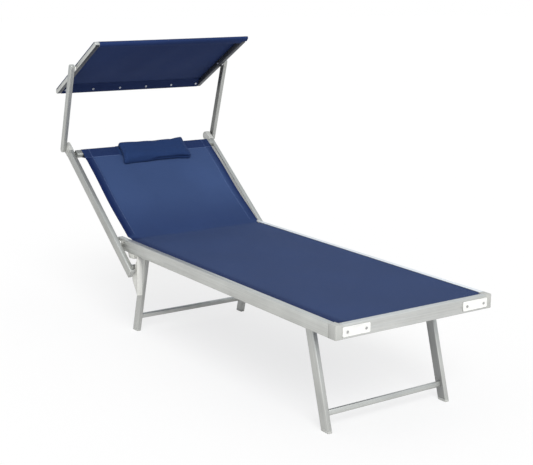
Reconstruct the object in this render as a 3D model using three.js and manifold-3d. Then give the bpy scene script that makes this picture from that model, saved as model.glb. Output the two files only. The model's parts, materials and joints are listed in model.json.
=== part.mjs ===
// Folding sun lounger with an adjustable backrest and a tilting canopy.
// Millimetres. X runs across the bed, Y from the foot end to the head end, Z up from the floor.
// The left side is the -X side, as seen from the foot end.

import * as THREE from 'three';
import { mergeVertices } from 'three/addons/utils/BufferGeometryUtils.js';
import Module from 'manifold-3d';

const wasm = await Module();
wasm.setup();

// Fits shared by all pieces
const fitGap = 0.3;
const cutOverrun = 5;

// Bed frame
const bedHalfWidth = 325;
const seatHeight = 396;
const railRearEnd = 1400;
const railWidth = 25;
const railHeight = 47;
const railWall = 1.6;
const railCornerRadius = 2;
const lipReach = 20;
const lipThickness = 1.6;
const slotHeight = 1.9;
const slotDepth = 8;
const cornerAlongSide = 37;
const cornerAlongFront = 27;
const cornerRadius = 5;
const sideSpigotLength = 25;
const frontSpigotLength = 10;

// Bumper plates on the foot rail
const plateLength = 106;
const plateHeight = 31;
const plateThickness = 4;
const plateOverlap = 2;
const plateCornerRadius = 4;
const plateRecessDepth = 1;
const plateRecessMargin = 24;
const plateScrewInset = 16.5;
const screwHeadDiameter = 9;
const screwHeadHeight = 1.8;
const screwShankDiameter = 4;
const screwShankLength = 12;

// Legs
const legWidth = 18;
const legDepth = 38;
const legWall = 1.6;
const legCornerRadius = 4;
const legAboveAxle = 14;
const axleDiameter = 16;
const axleWall = 1.5;
const frontAxleFromFoot = 232.9;
const rearAxleFromFoot = 1299.1;
const frontLegAngle = 16.4;
const rearLegAngle = 14.5;
const frontBarHeight = 56;
const rearBarHeight = 62;
const legBarDepth = 15;
const legBarHeight = 19.5;
const hingeBlockWidth = 38.8;
const hingeBlockLength = 44;
const hingeBlockHeight = 30;
const axleInBlock = 12.7;
const footHeight = 8;
const footSpigotLength = 18;

// Backrest
const reclineAngle = 37.6;
const pivotFromFoot = 1382.5;
const pivotPinDiameter = 12;
const pivotPinReach = 12;
const spacerWidth = 6.9;
const spacerDiameter = 26;
const tubeWidth = 20;
const tubeDepth = 38;
const tubeWall = 1.6;
const tubeCornerRadius = 4;
const tubeBelowPivot = 153;
const tubeAbovePivot = 505;
const leverPlugThickness = 4;
const plugSpigotLength = 16;
const capPivotReach = 26;
const capRoundReach = 11;
const stopPinArm = 124;
const stopPinDiameter = 20;
const stopPinShankDiameter = 10;
const stopPinMargin = 7;

// Notched recline rack under each side rail
const rackWidth = 22;
const rackFrontEdge = 1247;
const rackLength = 160;
const rackTopLength = 74;
const rackTopThickness = 3;
const rackLobeDrop = 19;
const rackTipThickness = 4;
const rackPlay = 0.9;
const rackNotchSink = 6;
const rackNotchAngle = 20;
const rackToothAngle = 9;
const rackHeelDepth = 40;
const rackHeelDrop = 106;

// Slings
const fabricThickness = 1.1;
const seatSlingRearEnd = 1330;
const seatSag = 4;
const backSlingSideGap = 25.5;
const backSlingStart = -16.5;
const backSlingRise = 44;
const backSlingNeckLength = 45;
const backSlingNeckMargin = 2;
const backSag = 7;
const topBarDepth = 28;
const topBarHeight = 22;
const topBarFromPivot = 481;
const topBarRise = 18;
const topBarWall = 1.5;
const topBarCornerRadius = 4;

// Head pillow
const pillowWidth = 315;
const pillowLength = 112;
const pillowOffset = 6;
const pillowUpperEdge = 495;
const pillowCrown = 20;
const pillowBelly = 9;
const pillowDrawIn = 3;
const pillowFlatness = 10;
const pillowRoundness = 0.4;

// Canopy arms
const armWidth = 16;
const armDepth = 25;
const armWall = 1.6;
const armLength = 354.6;
const armTopReach = 6;
const armLean = 16.6;
const armHubWidth = 3.4;
const armHubDiameter = 32;
const armHubPinDiameter = 12;
const tiltHubWidth = 6.5;
const tiltHubDiameter = 22;
const tiltHubPinDiameter = 10;
const hubPinReach = 10;

// Canopy
const canopySlope = 30.2;
const canopyHalfDepth = 221;
const canopyTubeWidth = 17;
const canopyTubeHeight = 20;
const canopyTubeWall = 1.5;
const canopyBarDiameter = 20;
const canopyBarWall = 1.2;
const canopyBarInset = 10.8;
const canopyFabricMargin = 2;
const rearSleeveLength = 42;
const frontSleeveLength = 26;
const sleeveApexInset = 7;
const snapEndInset = 13;
const snapDiameter = 10;
const snapHeight = 2.2;

// Sizes that follow from the ones above
const railBottom = seatHeight - railHeight;
const railInner = bedHalfWidth - railWidth;
const slotInner = lipReach - slotDepth;
const slotFloor = railHeight - lipThickness - slotHeight;
const pivotHeight = railBottom + railHeight / 2;
const axleHeight = railBottom + fitGap + axleInBlock;
const legOuter = railInner - hingeBlockWidth - 2 * fitGap;
const legInner = legOuter - legWidth;
const tubeInner = bedHalfWidth + spacerWidth + 2 * fitGap;
const tubeOuter = tubeInner + tubeWidth;
const backSlingHalfWidth = tubeInner - backSlingSideGap;
const armInner = tubeOuter + armHubWidth + 2 * fitGap;
const canopyOuter = armInner - tiltHubWidth - 2 * fitGap;
const canopyInner = canopyOuter - canopyTubeWidth;
const capPivot = tubeAbovePivot + capPivotReach;
const backSagLength = pillowUpperEdge - pillowLength - backSlingStart;

const acrossX = new THREE.Matrix4().makeBasis(
  new THREE.Vector3(0, 1, 0),
  new THREE.Vector3(0, 0, 1),
  new THREE.Vector3(1, 0, 0),
);
const alongY = new THREE.Matrix4().makeBasis(
  new THREE.Vector3(1, 0, 0),
  new THREE.Vector3(0, 0, 1),
  new THREE.Vector3(0, -1, 0),
);
const sides = [{ name: 'left', sign: -1 }, { name: 'right', sign: 1 }];
const holeSides = 24;

function radians(degrees) {
  return THREE.MathUtils.degToRad(degrees);
}

function arcPoints(centreU, centreV, radius, start, end, steps) {
  const points = [];
  for (let i = 0; i <= steps; i += 1) {
    const angle = radians(start + ((end - start) * i) / steps);
    points.push([centreU + radius * Math.cos(angle), centreV + radius * Math.sin(angle)]);
  }
  return points;
}

function turned(points, clockwise) {
  const vectors = points.map(([u, v]) => new THREE.Vector2(u, v));
  return THREE.ShapeUtils.isClockWise(vectors) === clockwise ? vectors : vectors.reverse();
}

function outline(points, holes = []) {
  const shape = new THREE.Shape(turned(points, false));
  for (const hole of holes) {
    shape.holes.push(new THREE.Path(turned(hole, true)));
  }
  return shape;
}

function roundedBox(width, height, radius, centreU = 0, centreV = 0) {
  const u = width / 2 - radius;
  const v = height / 2 - radius;
  return [
    ...arcPoints(centreU + u, centreV + v, radius, 0, 90, 3),
    ...arcPoints(centreU - u, centreV + v, radius, 90, 180, 3),
    ...arcPoints(centreU - u, centreV - v, radius, 180, 270, 3),
    ...arcPoints(centreU + u, centreV - v, radius, 270, 360, 3),
  ];
}

function roundEnded(halfLength, height) {
  const radius = height / 2;
  const reach = halfLength - radius;
  return [...arcPoints(reach, 0, radius, -90, 90, 10), ...arcPoints(-reach, 0, radius, 90, 270, 10)];
}

// A section drawn in (Y, Z) and run along X from one place to another
function runAcross(shape, from, to) {
  const low = Math.min(from, to);
  const high = Math.max(from, to);
  const geometry = new THREE.ExtrudeGeometry(shape, { depth: high - low, bevelEnabled: false });
  return geometry.applyMatrix4(acrossX).translate(low, 0, 0);
}

// A section drawn in (X, Z) and run along Y
function runAlong(shape, from, to) {
  const geometry = new THREE.ExtrudeGeometry(shape, { depth: to - from, bevelEnabled: false });
  return geometry.applyMatrix4(alongY).translate(0, to, 0);
}

// A section drawn in (X, Y) and run along Z
function runUp(shape, from, to) {
  const geometry = new THREE.ExtrudeGeometry(shape, { depth: to - from, bevelEnabled: false });
  return geometry.translate(0, 0, from);
}

function boxBetween(low, high) {
  const size = high.map((value, i) => value - low[i]);
  const geometry = new THREE.BoxGeometry(size[0], size[1], size[2]);
  return geometry.translate((low[0] + high[0]) / 2, (low[1] + high[1]) / 2, (low[2] + high[2]) / 2);
}

// A round pin, or the tool for a round hole, running along X
function pinAcross(diameter, from, to, y = 0, z = 0) {
  const low = Math.min(from, to);
  const high = Math.max(from, to);
  const geometry = new THREE.CylinderGeometry(diameter / 2, diameter / 2, high - low, holeSides);
  return geometry.rotateZ(Math.PI / 2).translate((low + high) / 2, y, z);
}

function solidOf(geometry) {
  const bare = new THREE.BufferGeometry();
  bare.setAttribute('position', geometry.getAttribute('position').clone());
  if (geometry.index) {
    bare.setIndex(geometry.index.clone());
  }
  const merged = mergeVertices(bare);
  const mesh = new wasm.Mesh({
    numProp: 3,
    vertProperties: new Float32Array(merged.getAttribute('position').array),
    triVerts: new Uint32Array(merged.index.array),
  });
  return new wasm.Manifold(mesh);
}

function geometryOf(solid) {
  const mesh = solid.getMesh();
  const geometry = new THREE.BufferGeometry();
  geometry.setAttribute('position', new THREE.BufferAttribute(new Float32Array(mesh.vertProperties), 3));
  geometry.setIndex(new THREE.BufferAttribute(new Uint32Array(mesh.triVerts), 1));
  geometry.computeVertexNormals();
  return geometry;
}

function joined(first, ...others) {
  return geometryOf(others.reduce((solid, other) => solid.add(solidOf(other)), solidOf(first)));
}

function cutBy(body, ...tools) {
  return geometryOf(tools.reduce((solid, tool) => solid.subtract(solidOf(tool)), solidOf(body)));
}

// A closed sheet over a grid of lines, with top and bottom given by one function of (u, v, side)
function sheetOverGrid(uLines, vLines, isKept, place) {
  const index = new Map();
  const positions = [];
  const triangles = [];
  const vertex = (i, j, side) => {
    const key = `${i} ${j} ${side}`;
    if (!index.has(key)) {
      index.set(key, positions.length / 3);
      positions.push(...place(uLines[i], vLines[j], side));
    }
    return index.get(key);
  };
  const quad = (a, b, c, d) => {
    triangles.push(a, b, c);
    triangles.push(a, c, d);
  };
  const kept = (i, j) => {
    const inside = i >= 0 && j >= 0 && i < uLines.length - 1 && j < vLines.length - 1;
    return inside && isKept((uLines[i] + uLines[i + 1]) / 2, (vLines[j] + vLines[j + 1]) / 2);
  };
  const wall = (i, j, k, l) => {
    quad(vertex(i, j, -1), vertex(k, l, -1), vertex(k, l, 1), vertex(i, j, 1));
  };
  for (let i = 0; i < uLines.length - 1; i += 1) {
    for (let j = 0; j < vLines.length - 1; j += 1) {
      if (kept(i, j)) {
        quad(vertex(i, j, 1), vertex(i + 1, j, 1), vertex(i + 1, j + 1, 1), vertex(i, j + 1, 1));
        quad(vertex(i, j, -1), vertex(i, j + 1, -1), vertex(i + 1, j + 1, -1), vertex(i + 1, j, -1));
        if (!kept(i, j - 1)) wall(i, j, i + 1, j);
        if (!kept(i + 1, j)) wall(i + 1, j, i + 1, j + 1);
        if (!kept(i, j + 1)) wall(i + 1, j + 1, i, j + 1);
        if (!kept(i - 1, j)) wall(i, j + 1, i, j);
      }
    }
  }
  const geometry = new THREE.BufferGeometry();
  geometry.setAttribute('position', new THREE.BufferAttribute(new Float32Array(positions), 3));
  geometry.setIndex(triangles);
  geometry.computeVertexNormals();
  return geometry;
}

function linesBetween(from, to, count) {
  return Array.from({ length: count + 1 }, (_, i) => from + ((to - from) * i) / count);
}

// Finishes
const finishes = {
  aluminium: { color: 0xb9bab4, roughness: 0.42, metalness: 0.85 },
  darkAluminium: { color: 0x8f918e, roughness: 0.5, metalness: 0.8 },
  steel: { color: 0x9a9a98, roughness: 0.35, metalness: 0.9 },
  greyPlastic: { color: 0x9b9d9a, roughness: 0.55, metalness: 0 },
  whitePlastic: { color: 0xf0f0ec, roughness: 0.5, metalness: 0 },
  navyFabric: { color: 0x2f4a80, roughness: 0.9, metalness: 0 },
  pillowFabric: { color: 0x2b4678, roughness: 0.9, metalness: 0 },
};

function addPiece(group, name, geometry, finish) {
  const mesh = new THREE.Mesh(geometry, new THREE.MeshStandardMaterial(finishes[finish]));
  mesh.name = name;
  group.add(mesh);
  return mesh;
}

// The rail section, in distance from the rail's outer face and height above its underside
function railOutline() {
  const r = railCornerRadius;
  return [
    ...arcPoints(r, r, r, 180, 270, 3),
    ...arcPoints(railWidth - r, r, r, 270, 360, 3),
    [railWidth, slotFloor],
    [slotInner, slotFloor],
    [slotInner, railHeight - lipThickness],
    [lipReach, railHeight - lipThickness],
    [lipReach, railHeight],
    ...arcPoints(r, railHeight - r, r, 90, 180, 3),
  ];
}

function railCavity() {
  const far = railWidth - railWall;
  const top = slotFloor - railWall;
  return [[railWall, railWall], [far, railWall], [far, top], [railWall, top]];
}

function railShape(place) {
  return outline(railOutline().map(place), [railCavity().map(place)]);
}

function addSideRails(bed) {
  for (const { name, sign } of sides) {
    const shape = railShape(([u, v]) => [sign * (bedHalfWidth - u), railBottom + v]);
    const rail = runAlong(shape, cornerAlongSide + fitGap, railRearEnd);
    const middle = sign * (bedHalfWidth - railWidth / 2);
    const outside = sign * (bedHalfWidth + cutOverrun);
    const hole = pinAcross(pivotPinDiameter + 2 * fitGap, middle, outside, pivotFromFoot, pivotHeight);
    addPiece(bed, `side_rail_${name}`, cutBy(rail, hole), 'aluminium');
  }
}

function plateMiddle() {
  return bedHalfWidth - cornerAlongFront + plateOverlap - plateLength / 2;
}

function plateScrewPlaces() {
  const reach = plateLength / 2 - plateScrewInset;
  return [
    { name: 'outer', x: plateMiddle() + reach },
    { name: 'inner', x: plateMiddle() - reach },
  ];
}

// A round tool or pin running along Y
function pinAlong(diameter, from, to, x, z) {
  const geometry = new THREE.CylinderGeometry(diameter / 2, diameter / 2, to - from, holeSides);
  return geometry.translate(x, (from + to) / 2, z);
}

function addFootRail(bed) {
  const end = bedHalfWidth - cornerAlongFront - fitGap;
  const rail = runAcross(railShape(([u, v]) => [u, railBottom + v]), -end, end);
  const holes = [];
  for (const { sign } of sides) {
    for (const place of plateScrewPlaces()) {
      const bore = screwShankDiameter + 2 * fitGap;
      holes.push(pinAlong(bore, -cutOverrun, railWidth / 2, sign * place.x, pivotHeight));
    }
  }
  addPiece(bed, 'foot_rail', cutBy(rail, ...holes), 'aluminium');
}

function addCornerConnectors(bed) {
  const play = railWall + fitGap;
  const spigotTop = railBottom + slotFloor - play;
  for (const { name, sign } of sides) {
    const r = cornerRadius;
    const plan = [
      [cornerAlongFront, 0],
      [cornerAlongFront, railWidth],
      [railWidth, railWidth],
      [railWidth, cornerAlongSide],
      [0, cornerAlongSide],
      ...arcPoints(r, r, r, 180, 270, 4),
    ];
    const shape = outline(plan.map(([u, v]) => [sign * (bedHalfWidth - u), v]));
    const block = runUp(shape, railBottom, seatHeight);
    const spigots = [
      { u: [play, railWidth - play], y: [railWidth / 2, cornerAlongSide + sideSpigotLength] },
      { u: [railWidth / 2, cornerAlongFront + frontSpigotLength], y: [play, railWidth - play] },
    ].map(({ u, y }) => {
      const xs = u.map((value) => sign * (bedHalfWidth - value));
      const low = [Math.min(...xs), y[0], railBottom + play];
      return boxBetween(low, [Math.max(...xs), y[1], spigotTop]);
    });
    addPiece(bed, `corner_connector_${name}`, joined(block, ...spigots), 'greyPlastic');
  }
}

function addBumperPlates(bed) {
  const front = -fitGap - plateThickness;
  for (const { name, sign } of sides) {
    const x = sign * plateMiddle();
    const shape = outline(roundedBox(plateLength, plateHeight, plateCornerRadius, x, pivotHeight));
    const plate = runAlong(shape, front, -fitGap);
    const recessLength = plateLength - 2 * plateRecessMargin;
    const recessHeight = plateHeight - 2 * plateCornerRadius;
    const recess = boxBetween(
      [x - recessLength / 2, front - cutOverrun, pivotHeight - recessHeight / 2],
      [x + recessLength / 2, front + plateRecessDepth, pivotHeight + recessHeight / 2],
    );
    const bore = screwShankDiameter + 2 * fitGap;
    const places = plateScrewPlaces();
    const holeFront = front - cutOverrun;
    const holes = places.map((place) => pinAlong(bore, holeFront, cutOverrun, sign * place.x, pivotHeight));
    addPiece(bed, `bumper_plate_${name}`, cutBy(plate, recess, ...holes), 'whitePlastic');
    for (const place of places) {
      const headBack = front - fitGap;
      const headFront = headBack - screwHeadHeight;
      const head = pinAlong(screwHeadDiameter, headFront, headBack, sign * place.x, pivotHeight);
      const shank = pinAlong(
        screwShankDiameter,
        headFront + screwHeadHeight / 2,
        headBack + screwShankLength,
        sign * place.x,
        pivotHeight,
      );
      addPiece(bed, `bumper_screw_${place.name}_${name}`, joined(head, shank), 'steel');
    }
  }
}

function addLegHinges(bed, end, axleFromFoot) {
  const axle = outline(
    arcPoints(axleFromFoot, axleHeight, axleDiameter / 2, 0, 345, 23),
    [arcPoints(axleFromFoot, axleHeight, axleDiameter / 2 - axleWall, 0, 345, 23)],
  );
  const reach = railInner - fitGap;
  addPiece(bed, `${end}_leg_axle`, runAcross(axle, -reach, reach), 'steel');
  for (const { name, sign } of sides) {
    const low = railBottom + fitGap;
    const blockShape = outline(
      roundedBox(
        hingeBlockLength,
        hingeBlockHeight,
        railCornerRadius,
        axleFromFoot,
        low + hingeBlockHeight / 2,
      ),
      [arcPoints(axleFromFoot, axleHeight, axleDiameter / 2 + fitGap, 0, 345, 23)],
    );
    const block = runAcross(blockShape, sign * (legOuter + fitGap), sign * reach);
    addPiece(bed, `${end}_leg_hinge_block_${name}`, block, 'greyPlastic');
  }
}

// The pin's path seen from the recline pivot, with a shallow notch for each resting place
function notchRadius(angle, notchAngles) {
  const tip = stopPinArm + stopPinDiameter / 2 + rackPlay;
  const centre = stopPinArm + rackNotchSink;
  const radius = stopPinDiameter / 2 + rackPlay;
  return notchAngles.reduce((reach, notch) => {
    const off = radians(angle - notch);
    const side = centre * Math.sin(off);
    if (Math.cos(off) < 0 || Math.abs(side) > radius) {
      return reach;
    }
    return Math.max(reach, centre * Math.cos(off) + Math.sqrt(radius * radius - side * side));
  }, tip);
}

function rackOutline() {
  const rest = 180 + reclineAngle;
  const highest = rest - rackNotchAngle;
  const top = railBottom - fitGap;
  const bottom = top - rackLength;
  const play = stopPinDiameter / 2 + rackPlay;
  const fromPivot = (radius, angle) => {
    const turn = radians(angle);
    return [pivotFromFoot + radius * Math.cos(turn), pivotHeight + radius * Math.sin(turn)];
  };
  const innerRadius = stopPinArm - play;
  const slotTop = pivotHeight - (top - rackTopThickness);
  const innerTop = 180 + THREE.MathUtils.radToDeg(Math.asin(slotTop / innerRadius));
  const outerTop = 180 + THREE.MathUtils.radToDeg(Math.asin(slotTop / (stopPinArm + play)));
  const lobeDepth = pivotHeight - top + rackLobeDrop;
  const lobeAngle = 180 + THREE.MathUtils.radToDeg(Math.asin(lobeDepth / innerRadius));
  const heel = [rackFrontEdge + rackHeelDepth, top - rackHeelDrop];
  const points = [[rackFrontEdge, bottom], [rackFrontEdge, top], [rackFrontEdge + rackTopLength, top]];
  points.push([rackFrontEdge + rackTopLength - rackLobeDrop / 2, top - rackLobeDrop]);
  const innerSteps = 3;
  for (let i = 0; i <= innerSteps; i += 1) {
    points.push(fromPivot(innerRadius, lobeAngle + ((innerTop - lobeAngle) * i) / innerSteps));
  }
  const last = rest + rackToothAngle;
  const notchSteps = 18;
  for (let i = 0; i <= notchSteps; i += 1) {
    const angle = outerTop + ((last - outerTop) * i) / notchSteps;
    points.push(fromPivot(notchRadius(angle, [highest, rest]), angle));
  }
  points.push(heel);
  points.push([rackFrontEdge + rackTipThickness, bottom]);
  return points.reverse();
}

function addReclineRacks(bed) {
  const middle = bedHalfWidth - railWidth / 2;
  for (const { name, sign } of sides) {
    const from = sign * (middle - rackWidth / 2);
    const rack = runAcross(outline(rackOutline()), from, sign * (middle + rackWidth / 2));
    addPiece(bed, `recline_rack_${name}`, rack, 'whitePlastic');
  }
}

function addReclinePivots(bed) {
  for (const { name, sign } of sides) {
    const inner = bedHalfWidth - pivotPinReach;
    const outer = tubeInner + pivotPinReach;
    const pin = pinAcross(pivotPinDiameter, sign * inner, sign * outer, pivotFromFoot, pivotHeight);
    const collarInner = sign * (bedHalfWidth + fitGap);
    const collarOuter = sign * (tubeInner - fitGap);
    const collar = pinAcross(spacerDiameter, collarInner, collarOuter, pivotFromFoot, pivotHeight);
    addPiece(bed, `recline_pivot_${name}`, joined(pin, collar), 'whitePlastic');
  }
}

function addSeatSling(bed) {
  const edge = bedHalfWidth - slotInner - fitGap;
  const start = slotInner + fitGap;
  const notchX = bedHalfWidth - cornerAlongFront - fitGap;
  const notchY = cornerAlongSide + fitGap;
  const low = railBottom + slotFloor + (slotHeight - fabricThickness) / 2;
  const xLines = [-edge, ...linesBetween(-notchX, notchX, 12), edge];
  const yLines = [start, ...linesBetween(notchY, seatSlingRearEnd, 16)];
  const isKept = (x, y) => Math.abs(x) < notchX || y > notchY;
  const dip = (x, y) => {
    const across = Math.max(0, 1 - (x / notchX) ** 2);
    const along = Math.min(1, Math.max(0, (y - notchY) / (seatSlingRearEnd - notchY)));
    return seatSag * across * Math.sin(Math.PI * along);
  };
  const place = (x, y, side) => [x, y, low - dip(x, y) + (side > 0 ? fabricThickness : 0)];
  addPiece(bed, 'seat_sling', sheetOverGrid(xLines, yLines, isKept, place), 'navyFabric');
}

// A pair of legs with its crossbar and feet, hung from its axle. Local -Z runs down the legs.
function addLegPair(parent, end, axleFromFoot, lean, barHeight) {
  const legs = new THREE.Group();
  legs.position.set(0, axleFromFoot, axleHeight);
  legs.rotation.x = radians(lean);
  parent.add(legs);
  const length = axleHeight / Math.cos(radians(lean));
  const slope = Math.tan(radians(lean));
  const middle = (legInner + legOuter) / 2;
  const soleAt = (y) => -length - y * slope;
  const cavityWidth = legWidth - 2 * legWall;
  const cavityDepth = legDepth - 2 * legWall;
  const cavityRadius = legCornerRadius - legWall;
  const below = length + cutOverrun + legDepth;
  for (const { name, sign } of sides) {
    const x = sign * middle;
    const section = outline(
      roundedBox(legWidth, legDepth, legCornerRadius, x),
      [roundedBox(cavityWidth, cavityDepth, cavityRadius, x)],
    );
    const tube = runUp(section, -below, legAboveAxle);
    const half = legDepth / 2 + cutOverrun;
    const rise = footHeight + fitGap;
    const underfoot = outline([
      [-half, soleAt(-half) + rise],
      [-half, -below - cutOverrun],
      [half, -below - cutOverrun],
      [half, soleAt(half) + rise],
    ]);
    const reachLow = sign * (legInner - cutOverrun);
    const reachHigh = sign * (legOuter + cutOverrun);
    const hole = pinAcross(axleDiameter + 2 * fitGap, reachLow, reachHigh);
    const leg = cutBy(tube, runAcross(underfoot, reachLow, reachHigh), hole);
    addPiece(legs, `${end}_leg_${name}`, leg, 'aluminium');

    const full = runUp(outline(roundedBox(legWidth, legDepth, legCornerRadius, x)), -below, -length / 2);
    const aboveFoot = outline([
      [-half, soleAt(-half) + footHeight],
      [half, soleAt(half) + footHeight],
      [half, 0],
      [-half, 0],
    ]);
    const belowSole = outline([
      [-half, soleAt(-half)],
      [-half, -below - cutOverrun],
      [half, -below - cutOverrun],
      [half, soleAt(half)],
    ]);
    const trims = [aboveFoot, belowSole].map((trim) => runAcross(trim, reachLow, reachHigh));
    const sole = cutBy(full, ...trims);
    const spigotWidth = cavityWidth - 2 * fitGap;
    const spigotDepth = cavityDepth - 2 * fitGap;
    const spigotRadius = cavityRadius - fitGap;
    const spigotTop = soleAt(0) + footHeight + footSpigotLength;
    const spigotShape = outline(roundedBox(spigotWidth, spigotDepth, spigotRadius, x));
    const spigot = runUp(spigotShape, soleAt(spigotDepth / 2) + fitGap, spigotTop);
    const trimmed = cutBy(spigot, runAcross(belowSole, reachLow, reachHigh));
    addPiece(legs, `${end}_foot_${name}`, joined(sole, trimmed), 'greyPlastic');
  }
  const barCentre = (barHeight - axleHeight) / Math.cos(radians(lean));
  const barShape = outline(
    roundedBox(legBarDepth, legBarHeight, legCornerRadius, 0, barCentre),
    [roundedBox(legBarDepth - 2 * legWall, legBarHeight - 2 * legWall, cavityRadius, 0, barCentre)],
  );
  const barReach = legInner - fitGap;
  addPiece(legs, `${end}_leg_crossbar`, runAcross(barShape, -barReach, barReach), 'aluminium');
  return legs;
}

// Backrest pieces lie along the tubes: local Y up the tube from the pivot, local Z out of the fabric.
function addBackrestTubes(backrest) {
  const middle = (tubeInner + tubeOuter) / 2;
  const cavityWidth = tubeWidth - 2 * tubeWall;
  const cavityDepth = tubeDepth - 2 * tubeWall;
  const cavityRadius = tubeCornerRadius - tubeWall;
  const spigotRadius = cavityRadius - fitGap;
  for (const { name, sign } of sides) {
    const x = sign * middle;
    const section = outline(
      roundedBox(tubeWidth, tubeDepth, tubeCornerRadius, x),
      [roundedBox(cavityWidth, cavityDepth, cavityRadius, x)],
    );
    const tube = runAlong(section, -tubeBelowPivot, tubeAbovePivot);
    const inside = sign * (tubeInner - cutOverrun);
    const pivotHole = pinAcross(pivotPinDiameter + 2 * fitGap, inside, x);
    const stopHole = pinAcross(stopPinShankDiameter + 2 * fitGap, inside, x, -stopPinArm);
    addPiece(backrest, `backrest_tube_${name}`, cutBy(tube, pivotHole, stopHole), 'aluminium');

    const spigotSection = outline(
      roundedBox(cavityWidth - 2 * fitGap, cavityDepth - 2 * fitGap, spigotRadius, x),
    );
    const radius = tubeDepth / 2;
    const capStart = tubeAbovePivot + fitGap;
    const capSide = outline([
      [capStart, -radius],
      ...arcPoints(capPivot + capRoundReach, 0, radius, -90, 90, 12),
      [capStart, radius],
    ]);
    const cap = runAcross(capSide, sign * tubeInner, sign * tubeOuter);
    const capSpigot = runAlong(spigotSection, tubeAbovePivot - plugSpigotLength, capStart + fitGap);
    const hubHole = pinAcross(
      armHubPinDiameter + 2 * fitGap,
      sign * (tubeOuter + cutOverrun),
      sign * (tubeOuter - hubPinReach - fitGap),
      capPivot,
    );
    addPiece(backrest, `backrest_tube_cap_${name}`, cutBy(joined(cap, capSpigot), hubHole), 'greyPlastic');

    const plugEnd = -tubeBelowPivot - fitGap;
    const plugSection = outline(roundedBox(tubeWidth, tubeDepth, tubeCornerRadius, x));
    const plug = runAlong(plugSection, plugEnd - leverPlugThickness, plugEnd);
    const plugSpigot = runAlong(spigotSection, plugEnd - fitGap, plugEnd + plugSpigotLength);
    addPiece(backrest, `lever_plug_${name}`, joined(plug, plugSpigot), 'greyPlastic');

    const pinInner = sign * (railInner + stopPinMargin);
    const pinOuter = sign * (tubeInner - fitGap);
    const pin = pinAcross(stopPinDiameter, pinInner, pinOuter, -stopPinArm);
    const shankEnd = sign * (tubeInner + pivotPinReach);
    const shank = pinAcross(stopPinShankDiameter, sign * bedHalfWidth, shankEnd, -stopPinArm);
    addPiece(backrest, `stop_pin_${name}`, joined(pin, shank), 'steel');
  }
}

function addTopBar(backrest) {
  const inner = [topBarDepth - 2 * topBarWall, topBarHeight - 2 * topBarWall];
  const shape = outline(
    roundedBox(topBarDepth, topBarHeight, topBarCornerRadius, topBarFromPivot, topBarRise),
    [roundedBox(inner[0], inner[1], topBarCornerRadius - topBarWall, topBarFromPivot, topBarRise)],
  );
  const reach = tubeInner - fitGap;
  addPiece(backrest, 'backrest_top_bar', runAcross(shape, -reach, reach), 'darkAluminium');
}

// The sleeve round the top bar, at a distance out from the bar's surface
function sleeveAround(offset) {
  const depth = topBarDepth + 2 * offset;
  const height = topBarHeight + 2 * offset;
  return roundedBox(depth, height, topBarCornerRadius + offset, topBarFromPivot, topBarRise);
}

function sleeveTop() {
  return topBarRise + topBarHeight / 2 + fitGap + fabricThickness;
}

// Height of the backrest fabric's upper face above the tubes' centre line
function backFabricTop(y) {
  const share = (y - backSlingStart) / (topBarFromPivot - backSlingStart);
  const chord = backSlingRise + (sleeveTop() - backSlingRise) * share;
  const sagShare = (y - backSlingStart) / backSagLength;
  if (sagShare <= 0 || sagShare >= 1) {
    return chord;
  }
  return chord - backSag * Math.sin(Math.PI * sagShare) ** 2;
}

function addBackrestSling(backrest) {
  const steps = linesBetween(backSlingStart, backSlingStart + backSagLength, 14);
  const places = [...steps, topBarFromPivot];
  const upper = places.map((y) => [y, backFabricTop(y)]);
  const lower = places.map((y) => [y, backFabricTop(y) - fabricThickness]).reverse();
  const panel = runAcross(outline([...upper, ...lower].reverse()), -backSlingHalfWidth, backSlingHalfWidth);
  const sleeve = runAcross(
    outline(sleeveAround(fitGap + fabricThickness), [sleeveAround(fitGap)]),
    -backSlingHalfWidth,
    backSlingHalfWidth,
  );
  const past = backSlingHalfWidth + cutOverrun;
  const core = runAcross(outline(sleeveAround(fitGap)), -past, past);
  const neckHalfWidth = railInner - backSlingNeckMargin;
  const neckEnd = backSlingStart + backSlingNeckLength;
  const necks = sides.map(({ sign }) => {
    const xs = [sign * neckHalfWidth, sign * past];
    const low = [Math.min(...xs), backSlingStart - cutOverrun, 0];
    return boxBetween(low, [Math.max(...xs), neckEnd, backSlingRise + cutOverrun]);
  });
  addPiece(backrest, 'backrest_sling', cutBy(joined(panel, sleeve), core, ...necks), 'navyFabric');
}

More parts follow.
